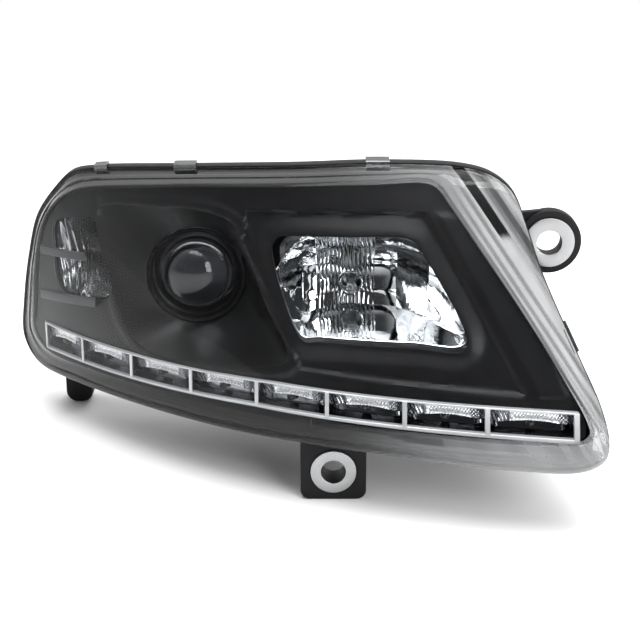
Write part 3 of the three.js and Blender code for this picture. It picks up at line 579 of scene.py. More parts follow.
def painted_wall_sheen(made):
    """Painted sheen on the side wall: a milky share that grows towards the inner end, painted as
    streaky reflection along the slanted edge.

    A narrow window at the upper inner corner gets none of the painted sheen and stays clear.
    """
    tree = made.node_tree
    coords = object_coords(tree)
    place = add(tree, "SeparateXYZ", {0: coords}).outputs
    across = add(tree, "VectorMath", {0: coords, 1: ACROSS_SLANT}, operation="DOT_PRODUCT")
    across = across.outputs["Value"]
    noise = add(tree, "TexNoise", {"W": across, "Scale": 70}, noise_dimensions="1D")
    painted_streaks = spread(tree, noise.outputs["Fac"], 0.36, 0.6, 0.2, 1.5)
    painted_streak_area = product(tree, spread(tree, place["Z"], 0.07, 0.13, 0, 1),
                       spread(tree, place["X"], 0.15, 0.18, 0, 1))
    blend = add(tree, "Mix", {"Factor": painted_streak_area, "A": 1, "B": painted_streaks})
    painted_sheen = product(tree, spread(tree, place["X"], 0.03, 0.25, 0.01, 0.34),
                   blend.outputs["Result"])
    window = product(tree, spread(tree, across, 0.3025, 0.304, 0, 1),
                     spread(tree, across, 0.3115, 0.3135, 1, 0))
    window = product(tree, window, spread(tree, place["Z"], 0.251, 0.262, 0, 1))
    painted_sheen = product(tree, painted_sheen, spread(tree, window, 0, 1, 1, 0))
    solid = next(n for n in tree.nodes if n.type == "MIX_SHADER" and not n.inputs[0].is_linked)
    tree.links.new(painted_sheen, solid.inputs[0])


# Paints sheen and streaky reflection onto the lens side wall, lighter towards the inner end.
painted_wall_sheen(FINISHES["lens_wall"])

CAD = frame["nodes"]
slot_of = {s["node"]: s["material_slot"] for s in frame["record"]["subparts"]}
for node, piece in CAD.items():
    piece.data.materials.clear()
    piece.data.materials.append(FINISHES[slot_of[node]])


def piece(name, data, *nodes, like=None, slot=None, finish=None, smooth=35, faces_finish=None):
    """A shown piece that stands for CAD nodes, with their body and material slot.

    A piece that stands for none is like a node, and may have a slot of its own.
    """
    home = like or nodes[0]
    body = CAD[home]["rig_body"]
    slot = slot or slot_of[home]
    mesh = to_mesh(name, data)
    mesh.materials.append(FINISHES[finish or slot])
    mesh.polygons.foreach_set("use_smooth", [True] * len(mesh.polygons))
    mesh.set_sharp_from_angle(angle=math.radians(smooth))
    if faces_finish:
        second, chosen = faces_finish
        mesh.materials.append(FINISHES[second])
        for p in mesh.polygons:
            p.material_index = int(chosen(p.center * 1000))
    made = placed(name, mesh)
    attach(made, body)
    if nodes:
        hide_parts(*nodes)


# ---- outer lens ----

EDGE_ROUND = 3.2
RIDGE, RIDGE_HEIGHT = (0.36, 0.6), 0.9
FOOT_END = 6


def edge_rings(wall, count=5):
    """Rings round the edge from the face to the side wall."""
    for k in range(count + 1):
        a = k / count * math.pi / 2
        yield on_face(edge_in(wall + EDGE_ROUND * (1 - math.sin(a))),
                      wall + EDGE_ROUND * (1 - math.cos(a)))


def lens_side(wall, foot):
    """The side wall from the rounded edge to its foot in the groove, with a low ridge.

    Its outside, where wall is 0, also has a flange over the rim.
    """
    rings = list(edge_rings(wall))
    start = rings[-1]
    end = shifted(rim_in(foot), -3)
    turn = mix(start, end, 0.5) * (1, 0, 1) + mix(start, end, 0.58) * (0, 1, 0)
    turn = mix(turn, start * (1, 0, 1) + turn * (0, 1, 0), 0.16)
    for t in (0.12, 0.24, 0.35, RIDGE[0], 0.48, RIDGE[1], 0.61, 0.74, 0.87, 1):
        ring = mix(mix(start, turn, t), mix(turn, end, t), t)
        on_ridge = RIDGE[0] <= t <= RIDGE[1]
        rings.append(inset(ring, -RIDGE_HEIGHT, REACH) if on_ridge else ring)
    if wall == 0:
        rings += [shifted(rim_in(d), b) for d, b in (
            (foot - 0.2, -2.9), (1.4, -2.9), (1.1, -2.6), (1.1, -1.4), (1.4, -1.1), (foot, -1.1))]
    return [*rings, shifted(rim_in(foot), FOOT_END)]


def lens_skin(wall, foot):
    steps = (0.06, 0.15, 0.25, 0.35, 0.45, 0.55, 0.65, 0.74, 0.82, 0.89, 0.95, 0.985)
    edge = edge_in(wall + EDGE_ROUND)
    front = np.array([(CENTRE[0], face_y(*CENTRE) + wall, CENTRE[1])])
    return [front, *[on_face(towards_centre(edge, t), wall) for t in steps],
            *lens_side(wall, foot)]


outside = lens_skin(0, GROOVE[0] + 0.4)
inside = lens_skin(LENS_WALL, GROOVE[1] - 0.9)
face_outline = edge_in(EDGE_ROUND / 2)[::4]


def on_lens_wall(centre):
    """The side wall; at the inner lower corner it hardly lies behind the face."""
    behind = centre.y - face_y(centre.x, centre.z) > LENS_WALL + 0.9
    low_corner = centre.x > 150 and centre.z < 95
    return behind or low_corner and depth_inside(centre.x, centre.z, face_outline) < 0


piece("lens_cover", loft([*outside, *inside[::-1]]), "outer_lens", smooth=60,
      faces_finish=("lens_wall", on_lens_wall))

# ---- housing ----

BODY_INSET = 7.5
LEVELS = (0, 0.04, 0.1, 0.18, 0.3, 0.42, 0.54, 0.65, 0.76, 0.87, 0.95, 1)


def body_ring(t, wall):
    loop = rim_in(BODY_INSET + wall)
    top = mix(TAPER, TOP_TAPER, np.clip((loop[:, 0] + 190) / 80, 0, 1))
    tall = np.where(loop[:, 2] > CENTRE[1], top, TAPER)
    out = loop.copy()
    out[:, 0] = mix(CENTRE[0], loop[:, 0], 1 - TAPER * t**1.3)
    out[:, 1] = mix(loop[:, 1] + CHANNEL, BACK - wall, t)
    out[:, 2] = mix(CENTRE[1], loop[:, 2], 1 - tall * t**1.3)
    return out


def rear_rounding(wall):
    last = body_ring(1, wall)
    return [shifted(inset(last, d, REACH), -b) for d, b in ((0, 2.2), (0.7, 0.6), (2.4, 0))]


def housing_shell():
    rim = [
        (LIP, 0), (GROOVE[1], 0), (GROOVE[1], 9), (GROOVE[0], 9), (GROOVE[0], 0.3),
        (GROOVE[0] - 0.4, 0), (0.9, 0), (0.25, 0.25), (0, 0.9), (0, CHANNEL - 1.2),
        (0.4, CHANNEL - 0.3), (1.2, CHANNEL), (6.4, CHANNEL),
    ]
    outer = [shifted(rim_in(d), b) for d, b in rim]
    outer += [body_ring(t, 0) for t in LEVELS[:-1]] + rear_rounding(0)
    inner = [body_ring(t, HOUSING_WALL) for t in LEVELS]
    inner += [shifted(rim_in(LIP), CHANNEL - HOUSING_WALL), shifted(rim_in(LIP), 0)]
    back = loft([*outer, middle(outer[-1])])
    front = loft([middle(inner[-3]) * (1, 0, 1) + np.array((0, BACK - HOUSING_WALL, 0)),
                  *inner[len(LEVELS) - 1::-1], *inner[len(LEVELS):], outer[0]])
    return merged(back, front)


def gussets():
    """Small webs between the rim channel and the body, round the whole rim."""
    level = CHANNEL - 0.4
    rim, inner = shifted(rim_in(1.4), level), shifted(rim_in(7), level)
    body = body_ring(0.3, 0.4)
    out = []
    for i in range(6, len(rim), 9):
        way = rim[(i + 1) % len(rim)] - rim[i]
        half = way / np.linalg.norm(way) * 1.1
        corners = np.array([rim[i], inner[i], body[i], mix(rim[i], body[i], 0.45) + (0, 4, 0)])
        points, faces = loft([corners - half, corners + half])
        out.append((points, faces + [(0, 1, 2, 3), (7, 6, 5, 4)]))
    return out


def upper_tab():
    ring = lathe(UPPER_TAB, soft([(0, -57), (31, -57), (31, -43), (0, -43)], 1.2), 72)
    root = plate([(226, 274), (252, 276.5), (252, 214.5), (243, 213), (224, 234)], -53, -45)
    web = plate([(222, 262), (240, 262), (243, 225), (226, 222)], -57, -35)
    bore = [(0, -70), (24.8, -70), (24.8, -55.9), (23.4, -55.9), (23.4, -30), (0, -30)]
    return combined(ring, ("UNION", root), ("UNION", web), ("DIFFERENCE", lathe(UPPER_TAB, bore)))


def lower_bracket():
    face = block(LOWER_BRACKET[0], 36, 64, 72, 9, -113, -86, 2.0)
    gusset = plate([(20, 52), (76, 52), (70, 80), (26, 80)], -112, -60)
    return combined(face, ("UNION", gusset), ("DIFFERENCE", drill(LOWER_BRACKET, 21.4, -130, -60)),
                    ("DIFFERENCE", drill(LOWER_BRACKET, 23.4, -130, -112.2)))


def hollow_neck(at, neck, port):
    return merged(tube(at, port, neck, BACK - 3, BACK + 9, 0.6),
                  tube(at, port, neck + 6, BACK - 3, BACK, 0.3))


def back_ribs():
    """Stiffening ribs on the outside of the back wall."""
    low, high = BACK - 0.6, BACK + 6
    rows = []
    for z, x0, x1 in ((130, -30, -2), (236, 96, 150), (104, -120, -50)):
        rows.append(block((x0 + x1) / 2, z, x1 - x0, 2.4, 1.1, low, high))
    for x, z0, z1 in ((-176, 118, 225), (2, 205, 244), (128, 128, 236), (-20, 146, 218)):
        rows.append(block(x, (z0 + z1) / 2, 2.4, z1 - z0, 1.1, low, high))
    for at, radius in ((TILT_SCREW, 11), (SWING_SCREW, 11), (INDICATOR, 22.5)):
        rows.append(tube(at, radius, radius + 2, low, BACK + 3.4, 0.5, 48))
    return rows


# Name, place, neck radius and port radius of each capped port.
BEAM_PORTS = (("low", PROJECTOR, 54, 50), ("high", HIGH_BEAM, 42, 38))
SMALL_PORTS = ((INDICATOR, 17, 64), (MOTOR, 12, 48), (TILT_SCREW, 4, 32), (SWING_SCREW, 4, 32))
FEET = ((-238, 76), (150, 98))
holes = [drill(at, port, 140, 200) for _, at, _, port in BEAM_PORTS]
holes += [drill(at, radius, 140, 200, segments) for at, radius, segments in SMALL_PORTS]
holes.append(block(*MAIN_PLUG, 40, 22, 3, 140, 200, 0.1))
posts = [bar((SWING_X, PIVOT_Y, z0), (SWING_X, PIVOT_Y, z1), 8)
         for z0, z1 in ((275.5, 290), (76, 100.5))]
feet = [block(x, height / 2, 30, height, 12, 129, 155, 2.5) for x, height in FEET]
piece("housing_body",
      merged(cut(housing_shell(), *holes), *posts, *feet, *gussets(), *back_ribs()), "housing")
for name, at, neck, port in BEAM_PORTS:
    piece(f"{name}_beam_neck", hollow_neck(at, neck, port), f"{name}_beam_collar")
piece("housing_tab", upper_tab(), like="housing")
piece("housing_bracket", lower_bracket(), like="housing")

# ---- bezel ----


def bezel_outline():
    points = []
    for i, (x, z, rx, rz, _) in enumerate(STATIONS):
        w = 0.2 if i in LOW_STATIONS else 0
        points.append((mix(x, rx, w), 0, mix(z, rz, w)))
    return inset(smooth_loop(points, STEPS), 5.5, REACH)


bezel_loop = bezel_outline()
well_loop = smooth_loop(flat_loop(WELL), 12)
high_loop = smooth_loop(flat_loop(HIGH_OPENING), 8)
indicator_loop = smooth_loop(flat_loop(INDICATOR_OPENING), 8)
RECESS = [(-38, 270), (60, 275), (133, 278), (174, 214), (202, 166), (226, 125), (15, 130),
          (-20, 199), (-44, 239)]
SIDE_PANEL = [(141, 277), (176, 277), (214, 223), (241, 181), (264, 127), (234, 125),
              (206, 170), (178, 217)]


def relief(x, z):
    """How far the bezel's front lies behind its plain surface."""
    frame_edge = -depth_inside(x, z, high_loop)
    hollow = 4.5 * ramp(depth_inside(x, z, RECESS), 0, 3.5)
    lip = 4.5 * (1 - ramp(frame_edge, 1.0, 20))
    panel = -1.4 * ramp(depth_inside(x, z, SIDE_PANEL), 0.5, 2.5)
    round_well = -depth_inside(x, z, well_loop)
    rib = -1.6 * ramp(round_well, -0.5, 1.5) * (1 - ramp(round_well, 9, 11)) * ramp(x, -196, -186)
    return np.where(hollow > 0.01, hollow - np.minimum(lip, hollow), 0) + panel + rib


def grid_solid(front, rear):
    """A closed solid between two grids of points."""
    rows, cols = front.shape[:2]
    size = rows * cols
    faces = []
    for r in range(rows - 1):
        for c in range(cols - 1):
            i = r * cols + c
            faces.append((i, i + 1, i + cols + 1, i + cols))
            faces.append((size + i + cols, size + i + cols + 1, size + i + 1, size + i))
    ids = np.arange(size).reshape(rows, cols)
    border = [*ids[0], *ids[1:, -1], *ids[-1, -2::-1], *ids[-2:0:-1, 0]]
    border = [int(i) for i in border]
    for a, b in zip(border, border[1:] + border[:1]):
        faces.append((b, a, a + size, b + size))
    points = [tuple(p) for grid in (front, rear) for p in grid.reshape(-1, 3)]
    return points, faces


def height_block(xs, zs, front, rear):
    x, z = np.meshgrid(xs, zs)
    return grid_solid(np.stack((x, front(x, z), z), 2), np.stack((x, rear(x, z), z), 2))


def bezel_sheet(pitch=2.5):
    """A closed sheet that follows the face, before it is trimmed."""
    low, high = bezel_loop.min(0) - 3, bezel_loop.max(0) + 3
    return height_block(
        np.arange(low[0], high[0] + pitch, pitch), np.arange(low[2], high[2] + pitch, pitch),
        lambda x, z: face_y(x, z) + BEZEL_BACK + relief(x, z),
        lambda x, z: face_y(x, z) + BEZEL_BACK + BEZEL_WALL + np.maximum(relief(x, z), 0))


def opening_wall(loop, depth, thickness, lip=0.8):
    """A band round an opening of the bezel, thickening outwards."""
    front, rear = BEZEL_BACK - 0.3, BEZEL_BACK + depth
    return closed_loft([on_face(inset(loop, d), b) for d, b in (
        (0, rear), (0, front + lip), (-lip * 0.3, front + lip * 0.3), (-lip, front),
        (-thickness, front + 0.2), (-thickness, rear))])


def strip_low(x):
    return 90.5 - 14 * np.clip((-28 - x) / 242, 0, 1) ** 1.2


def strip_high(x):
    return 117 - 10.5 * np.clip((-10 - x) / 260, 0, 1)


def strip_outline(trim, x0, x1, count=40):
    xs = np.linspace(x0, x1, count)
    low = [(x, strip_low(x) + trim) for x in xs]
    high = [(x, strip_high(x) - trim) for x in xs[::-1]]
    return flat_loop(low + high)


def well_walls():
    """The sunk well, from its outline down to the ring round the projector."""
    def side(grow, offset):
        loop = inset(well_loop, -grow)
        mouth = on_face(loop, BEZEL_BACK)
        mouth[:, 1] += relief(loop[:, 0], loop[:, 2]) + offset
        floor = circle_under(loop, PROJECTOR, 51 + grow)
        floor[:, 1] = 11.4 + offset
        bend = mix(mouth, floor, 0.55) * (1, 0, 1) + mix(mouth, floor, 0.74) * (0, 1, 0)
        rings = []
        for k in range(13):
            t = k / 12
            rings.append(mix(mix(mouth, bend, t), mix(bend, floor, t), t))
        return rings
    top, under = side(0, 0), side(0.4, 2.0)
    return closed_loft([*top, *under[::-1]])


def bezel_front():
    x0, x1 = STRIP_ENDS
    slot = strip_outline(2.4, x0 + 2.4, x1 - 2.4)
    whole = combined(bezel_sheet(), ("INTERSECT", prism(bezel_loop)))
    return cut(whole, prism(high_loop), prism(indicator_loop), prism(well_loop), prism(slot))


def bezel_skirt():
    """The turned-back edge, deeper towards the inner end."""
    depth = 8 + 20 * np.clip((bezel_loop[:, 0] + 235) / 100, 0, 1)
    inner = inset(bezel_loop, BEZEL_WALL, REACH)
    front, inner_front = on_face(bezel_loop, BEZEL_BACK + 0.8), on_face(inner, BEZEL_BACK + 0.8)
    rear = shifted(on_face(bezel_loop, BEZEL_BACK), depth)
    inner_rear = shifted(on_face(inner, BEZEL_BACK), depth)
    return closed_loft([front, rear, inner_rear, inner_front])


piece("bezel_mask", merged(bezel_front(), bezel_skirt(), well_walls(),
                           opening_wall(high_loop, 9, 2.2), opening_wall(indicator_loop, 6, 2)),
      "bezel", smooth=40)

# ---- light strip ----


def face_bar(low, high, back0, back1, x0, x1, count, ease=0.5):
    """A bar along the face with an eased section."""
    rings = []
    for x in np.linspace(x0, x1, count + 1):
        a, b = low(x), high(x)
        corners = [(a, back1), (a, back0 + ease), (a + ease, back0), (b - ease, back0),
                   (b, back0 + ease), (b, back1)]
        rings.append(np.array([(x, face_y(x, z) + d, z) for z, d in corners]))
    return capped(rings)


def raised(edge, offset):
    return lambda x: edge(x) + offset


FRAME_DEPTHS = (8, 13.4)
CELL_DEPTHS = (13.4, 30)


def strip_frame():
    """The silver frame; its lower bar and its dividers grow towards the inner end."""
    x0, x1 = STRIP_ENDS

    def lower_bar_top(x):
        return strip_low(x) + 2.2 + 1.6 * (x - x0) / (x1 - x0)
    parts = [face_bar(strip_low, lower_bar_top, *FRAME_DEPTHS, x0, x1, 70),
             face_bar(raised(strip_high, -1.6), strip_high, *FRAME_DEPTHS, x0, x1, 70)]
    for i, x in enumerate((x0 + 1.2, *STRIP_DIVIDERS, x1 - 1.4)):
        half = 1.1 + 0.16 * i
        parts.append(face_bar(raised(strip_low, 0.6), raised(strip_high, -0.4), 7.6, 13.2,
                              x - half, x + half, 3, 0.7))
    return merged(*parts)


CELL_EDGES = (STRIP_ENDS[0] + 1, *STRIP_DIVIDERS, STRIP_ENDS[1] - 1)


def arch(u):
    """Height of the upper edge of a cell's dark bowl."""
    return 0.34 - 0.5 * (u - 0.08) ** 2


def cell_fields(x, z, left, right):
    """Where a point lies in its cell: across, upwards, and distance to the hooked lip."""
    u = 2 * (x - left) / (right - left) - 1
    low, high = strip_low(x) + 2.6, strip_high(x) - 2.2
    v = 2 * (z - low) / (high - low) - 1
    along = np.where(u > -0.5, np.abs(v - arch(u)) * 0.32 + 9 * np.maximum(u - 0.62, 0), 9)
    stem = np.where(v > arch(-0.46), np.abs(u + 0.5 - 0.08 * (1 - v)), 9)
    return u, v, np.minimum(along, stem)


def cell_floor(left, right):
    """One cell: a dark bowl under a hooked lip, with a ribbed and a dimpled field above it."""
    xs = np.linspace(left + 1.4, right - 1.4, max(56, int((right - left) * 1.8)))
    x, level = np.meshgrid(xs, np.linspace(0, 1, 40))
    z = mix(strip_low(x) + 2.6, strip_high(x) - 2.2, level)
    u, v, lip = cell_fields(x, z, left, right)
    bowl = 16 * ramp(arch(u) - v, 0.02, 0.6)
    ribs = 1.1 * np.abs(np.sin((x + z * 0.5) * 0.9))
    dimples = 0.5 * np.sin(x * 2.1) * np.sin(z * 1.9)
    field = np.where(u < -0.5, ribs, dimples) * (1 - ramp(arch(u) - v, 0, 0.1))
    y = face_y(x, z) + 15 + bowl + field - 2.6 * np.exp(-((lip / 0.05) ** 2))
    y = y + 5 * ramp(np.abs(u), 0.72, 0.95)
    return grid_solid(np.stack((x, y, z), 2), np.stack((x, y + 2, z), 2))


def gets_painted_highlight(centre):
    """Painted highlight: the lip and the dimpled field of a cell get the bright finish, the rest stays
    dark.
    """
    i = int(np.clip(np.searchsorted(CELL_EDGES, centre.x) - 1, 0, len(CELL_EDGES) - 2))
    u, v, lip = cell_fields(centre.x, centre.z, *CELL_EDGES[i:i + 2])
    return bool(lip < 0.06 or (-0.45 < u < 0.6 and v > arch(u)))


def strip_cells():
    parts = [cell_floor(a, b) for a, b in zip(CELL_EDGES, CELL_EDGES[1:])]
    x0, x1 = CELL_EDGES[0], CELL_EDGES[-1]
    for edge, low, high in ((strip_low, 1.2, 2.6), (strip_high, -2.4, -1.2)):
        parts.append(face_bar(raised(edge, low), raised(edge, high), *CELL_DEPTHS, x0, x1, 70, 0.2))
    for x in CELL_EDGES:
        parts.append(face_bar(raised(strip_low, 1.4), raised(strip_high, -1.4), *CELL_DEPTHS,
                              x - 0.8, x + 0.8, 2, 0.2))
    return merged(*parts)


piece("strip_silver_frame", strip_frame(), "strip_frame", finish="satin_silver")
piece("strip_cell_reflectors", strip_cells(), "strip_cells",
      faces_finish=("cell_bright", gets_painted_highlight))

for number, (a, b) in enumerate(zip(CELL_EDGES, CELL_EDGES[1:]), 1):
    x = (a + b) / 2
    z = (strip_low(x) + strip_high(x)) / 2 - 3
    y = face_y(x, z) + 24
    dome = [(0, y - 3.2), (1.2, y - 2.9), (2.2, y - 2.0), (2.7, y - 0.6), (2.8, y + 1),
            (4.4, y + 1.1), (4.4, y + 6), (0, y + 6)]
    piece(f"emitter_{number}", lathe((x, z), dome, 32), f"strip_emitter_{number}")

# ---- high beam reflector ----

# The x of the creases between the panels, and how much each panel leans.
SEAMS = (-20, 17, 30, 89, 111, 140, 180)
SLOPES = (0.2, -0.3, 0.0, 0.26, -0.22, 0.1)
FLUTED = SEAMS[2:4]
FLUTE_PITCH = 4.2
BOWL_DEPTH, BOWL_SPREAD = 22, 104
UPPER_FACETS = 205
MIRROR_FRONT = 35.5


def high_surface(x, z):
    """Depth of the high beam bowl: upright panels, the middle one fluted."""
    from_bulb = (x - HIGH_BEAM[0]) ** 2 + (z - HIGH_BEAM[1]) ** 2
    y = BOWL_DEPTH - from_bulb / BOWL_SPREAD
    for left, right, slope in zip(SEAMS, SEAMS[1:], SLOPES):
        on_panel = (x >= left) & (x < right)
        off = x - (left + right) / 2
        y = y + np.where(on_panel, slope * off - 0.004 * off**2, 0)
    flute = 0.55 * np.cos(x * math.tau / FLUTE_PITCH) * (1 + 0.3 * np.sin(z / 6))
    y = y + np.where((x > FLUTED[0]) & (x < FLUTED[1]), flute, 0)
    facets = 1.1 * np.abs(np.sin((z - UPPER_FACETS) / 8.0)) - 0.5
    y = y + ramp(z, UPPER_FACETS, UPPER_FACETS + 2) * (x > FLUTED[1]) * facets
    y = y + (x < FLUTED[0]) * 1.3 * np.abs(np.sin((z + x * 0.55) / 15.0))
    return np.maximum(y, face_y(x, z) + MIRROR_FRONT)


wide_loop = inset(smooth_loop(flat_loop(HIGH_OPENING), 16), -2)


def mirror_wall():
    """The upright wall round the bowl, from its floor up to the bezel."""
    front = MIRROR_FRONT - 0.5
    outer = inset(wide_loop, -2)

    def floor(loop, extra):
        out = on_face(loop, 38)
        out[:, 1] = np.maximum(high_surface(loop[:, 0], loop[:, 2]) + 1 + extra, out[:, 1])
        return out
    rings = [floor(wide_loop, 0), on_face(wide_loop, front + 0.6),
             on_face(inset(wide_loop, -0.6), front), on_face(inset(wide_loop, -1.4), front),
             on_face(outer, front + 0.6), floor(outer, 0)]
    return closed_loft(rings)


def high_reflector():
    creases = [seam + side for seam in SEAMS[1:-1] for side in (-0.05, 0.05)]
    xs = np.unique(np.concatenate((np.arange(-18, 178, 1.05), creases)))
    zs = np.arange(152, 262, 1.6)
    bowl = height_block(xs, zs, high_surface, lambda x, z: high_surface(x, z) + 2)
    bowl = combined(bowl, ("INTERSECT", prism(inset(wide_loop, -1.0))))
    bowl = cut(bowl, drill(HIGH_BEAM, 11.5, -100, 100, 64), drill(PARKING, 6, -100, 100, 48))
    neck = turned(HIGH_BEAM, [(11.5, 20), (14.5, 20), (14.5, 53), (22, 53.6), (22, 56.6),
                              (11.5, 56.6)])
    collar = turned(HIGH_BEAM, [(9.6, 20.4), (11.4, 19.2), (12.4, 21), (12, 24), (9.6, 24)], 0.4)
    return merged(bowl, mirror_wall(), neck, collar)


piece("high_beam_mirror", high_reflector(), "high_beam_reflector", smooth=30)


CAPSULE = 5.4


def capsule(at, tip, seat, barrel):
    """The clear tip, the metal base and the filament of a bulb."""
    dome = [(CAPSULE * math.sin(a), tip + CAPSULE * (1 - math.cos(a)))
            for a in np.linspace(0, math.pi / 2, 12)]
    clear_part = lathe(at, [*dome, (CAPSULE, seat - 22), (4.9, seat - 21), (0, seat - 21)], 48)
    profile = [(0, -21.5), (5.6, -21.5), (6.4, -20.6), (barrel - 1, -20), (barrel, -18),
               (barrel, 0), (16, 0.4), (16, 3), (9, 3), (9, 15), (6, 16), (0, 16)]
    base = lathe(at, soft([(r, seat + y) for r, y in profile], 0.5), 64)
    coil = [(at[0] + 0.7 * math.cos(a), tip + 11 + a * 0.12, at[1] + 0.7 * math.sin(a))
            for a in np.linspace(0, 12 * math.pi, 72)]
    legs = [wire([(at[0] + s * 2, seat - 22, at[1]), (at[0] + s * 2, tip + 18, at[1]),
                  (at[0] + s * 0.7, tip + (11 if s < 0 else 15.5), at[1])], 0.22, 3, 6)
            for s in (-1, 1)]
    return clear_part, base, merged(wire(coil, 0.16, 1, 6), *legs)


for name, at, tip, seat, barrel in (("high_beam", HIGH_BEAM, -2, 64.4, 10.8),
                                    ("low_beam", PROJECTOR, 96, 126.4, 11.6)):
    clear_part, base, filament = capsule(at, tip, seat, barrel)
    piece(f"{name}_capsule", clear_part, f"{name}_bulb")
    piece(f"{name}_base", base, like=f"{name}_bulb", slot="steel")
    piece(f"{name}_filament", filament, like=f"{name}_bulb", slot="steel")

wedge = [(0, -12), (1.8, -11.7), (3.4, -10.6), (4.6, -8.6), (5, -6), (5, 10), (4.2, 11), (0, 11)]
socket_profile = [(0, 11.4), (5.6, 11.4), (5.6, 14.5), (9, 14.5), (9, 17), (0, 17)]
piece("parking_capsule", lathe(PARKING, wedge, 40), "parking_bulb")
piece("parking_socket", merged(lathe(PARKING, soft(socket_profile, 0.4)),
                               block(*PARKING, 11, 8, 1, 17, 30)),
      "parking_holder")

# ---- projector ----

dome = [(33 * math.sin(a), 20 - 24 * math.cos(a)) for a in np.linspace(0, math.pi / 2, 28)]
piece("projector_eye", lathe(PROJECTOR, [*dome, (34.4, 20), (34.4, 23.8), (0, 23.8)]),
      "projector_lens", smooth=50)
trim = [(40, 28), (43, 21), (45.5, 19.5), (46.5, 13), (49.2, 9.6), (49.2, 14), (47.2, 20),
        (44, 22.6), (41.2, 28.6)]
piece("projector_bezel_ring", turned(PROJECTOR, trim, 0.7), "projector_trim_ring")
retainer = [(33.4, 18.2), (36.3, 18.2), (36.3, 30), (34.9, 30), (34.9, 19.6), (33.4, 19.6)]
piece("projector_retainer", turned(PROJECTOR, retainer, 0.3), "projector_lens_ring")
barrel = [(30, 24.2), (34.5, 24.2), (34.5, 30.4), (36.6, 30.4), (42, 50), (44, 50), (44, 56.6),
          (38, 56.6), (38, 50), (30, 32)]
piece("projector_barrel", turned(PROJECTOR, barrel), "projector_holder")
bowl_out = [(40.6 * math.cos(a), 69 + 52 * math.sin(a)) for a in np.linspace(0, 1.2, 14)]
bowl_in = [(38.4 * math.cos(a), 67 + 52 * math.sin(a)) for a in np.linspace(1.2, 0, 14)]
bowl = [(38.4, 64.4), (44.6, 64.4), (44.6, 67), (40.6, 67), *bowl_out, (14.5, 126), (12.4, 126),
        *bowl_in, (38.4, 64.4)]
piece("projector_mirror", lathe(PROJECTOR, bowl), "projector_bowl")

# ---- indicator ----


def indicator_mirror():
    line = smooth_loop(flat_loop(INDICATOR_OPENING), 26)

    def side(grow, wall):
        loop = inset(line, -1 - grow)
        eye = circle_under(loop, INDICATOR, 12 + grow)
        rings = []
        for t in np.linspace(0, 1, 30):
            x, _, z = mix(eye, loop, t).T
            y = mix(128, face_y(x, z) + 28, t**1.4) + wall
            flute = np.cos((x + z * 0.16) * math.tau / 6.5)
            y += 1.2 * flute * np.clip(1.2 - t, 0, 1) * np.clip(t * 6, 0, 1)
            rings.append(np.stack((x, y, z), 1))
        return rings
    top, under = side(0, 0), side(1.6, 1.6)
    neck = tube(INDICATOR, 12, 14, 128.8, 136, 0.4, 48)
    return merged(closed_loft([*top, *under[::-1]]), neck)


piece("indicator_mirror", indicator_mirror(), "indicator_reflector",
      finish="indicator_chrome", smooth=40)


def indicator_pane():
    loop = inset(indicator_loop, 1.2)
    xs = np.arange(loop[:, 0].min() - 2, loop[:, 0].max() + 2, 0.8)
    zs = np.arange(loop[:, 2].min() - 2, loop[:, 2].max() + 2, 5)
    pane = height_block(xs, zs, lambda x, z: face_y(x, z) + 18 + 0.3 * np.cos(x * math.tau / 3.2),
                        lambda x, z: face_y(x, z) + 20)
    return combined(pane, ("INTERSECT", prism(loop)))


piece("indicator_pane", indicator_pane(), "indicator_lens")


def marker_bar(x0, x1, z0, z1, height):
    """A blade of the side marker between two ends of its middle line."""
    def edge(side):
        return lambda x: mix(z0, z1, (x - x0) / (x1 - x0)) + side * height / 2
    return face_bar(edge(-1), edge(1), 8.5, 13.4, x0, x1, 24, 0.9)


for name, ends in (("upper", (-268, -211, 186.5, 195.5, 8)), ("lower", (-270, -199, 137, 151.5, 9))):
    piece(f"marker_bar_{name}", marker_bar(*ends), f"marker_blade_{name}", finish="blade_grey")
bulb = [(0, 105), (3, 105.4), (6, 107.2), (8.2, 110), (9, 113.4), (9, 126), (8.4, 131), (7.4, 134),
        (7.4, 151.6), (0, 151.6)]
plug = [(0, 152), (16.6, 152), (16.6, BACK + 0.4), (21, BACK + 0.4), (21, BACK + 5), (0, BACK + 5)]
piece("indicator_capsule", lathe(INDICATOR, bulb, 48), "indicator_bulb")
piece("indicator_plug", merged(lathe(INDICATOR, soft(plug, 0.6)),
                               block(*INDICATOR, 20, 16, 2, BACK + 4.5, BACK + 17),
                               block(*INDICATOR, 34, 5, 1.5, BACK + 4.5, BACK + 9)),
      "indicator_holder")

# ---- back of the lamp ----


def behind(*profile):
    """A profile whose y is measured from the outside of the back wall."""
    return [(r, BACK + y) for r, y in profile]


def back_block(x, z, width, height, radius, y0, y1, bevel=0.7):
    return block(x, z, width, height, radius, BACK + y0, BACK + y1, bevel)


def cover(at, neck, ribs):
    """A cap with grip ribs round it, a turning bar and two ridges."""
    profile = behind((0, 13.5), (neck + 0.6, 13.5), (neck + 0.6, 3), (neck + 3.4, 3),
                     (neck + 3.4, 14.4), (neck + 1, 17), (neck - 9, 17), (neck - 10, 16),
                     (neck - 13, 16), (neck - 14, 17), (0, 17))
    parts = [lathe(at, soft(profile, 0.8))]
    for i in range(ribs):
        a = i / ribs * math.tau
        x, z = at[0] + (neck + 3) * math.cos(a), at[1] + (neck + 3) * math.sin(a)
        parts.append(bar((x, BACK + 4, z), (x, BACK + 15, z), 2.8, 16))
    parts.append(back_block(*at, neck * 1.3, 9, 3, 16, 23, 1.6))
    for side in (-1, 1):
        parts.append(back_block(at[0], at[1] + side * neck * 0.42, neck * 0.7, 1.6, 0.7, 16.6,
                                18.4, 0.4))
    return merged(*parts)


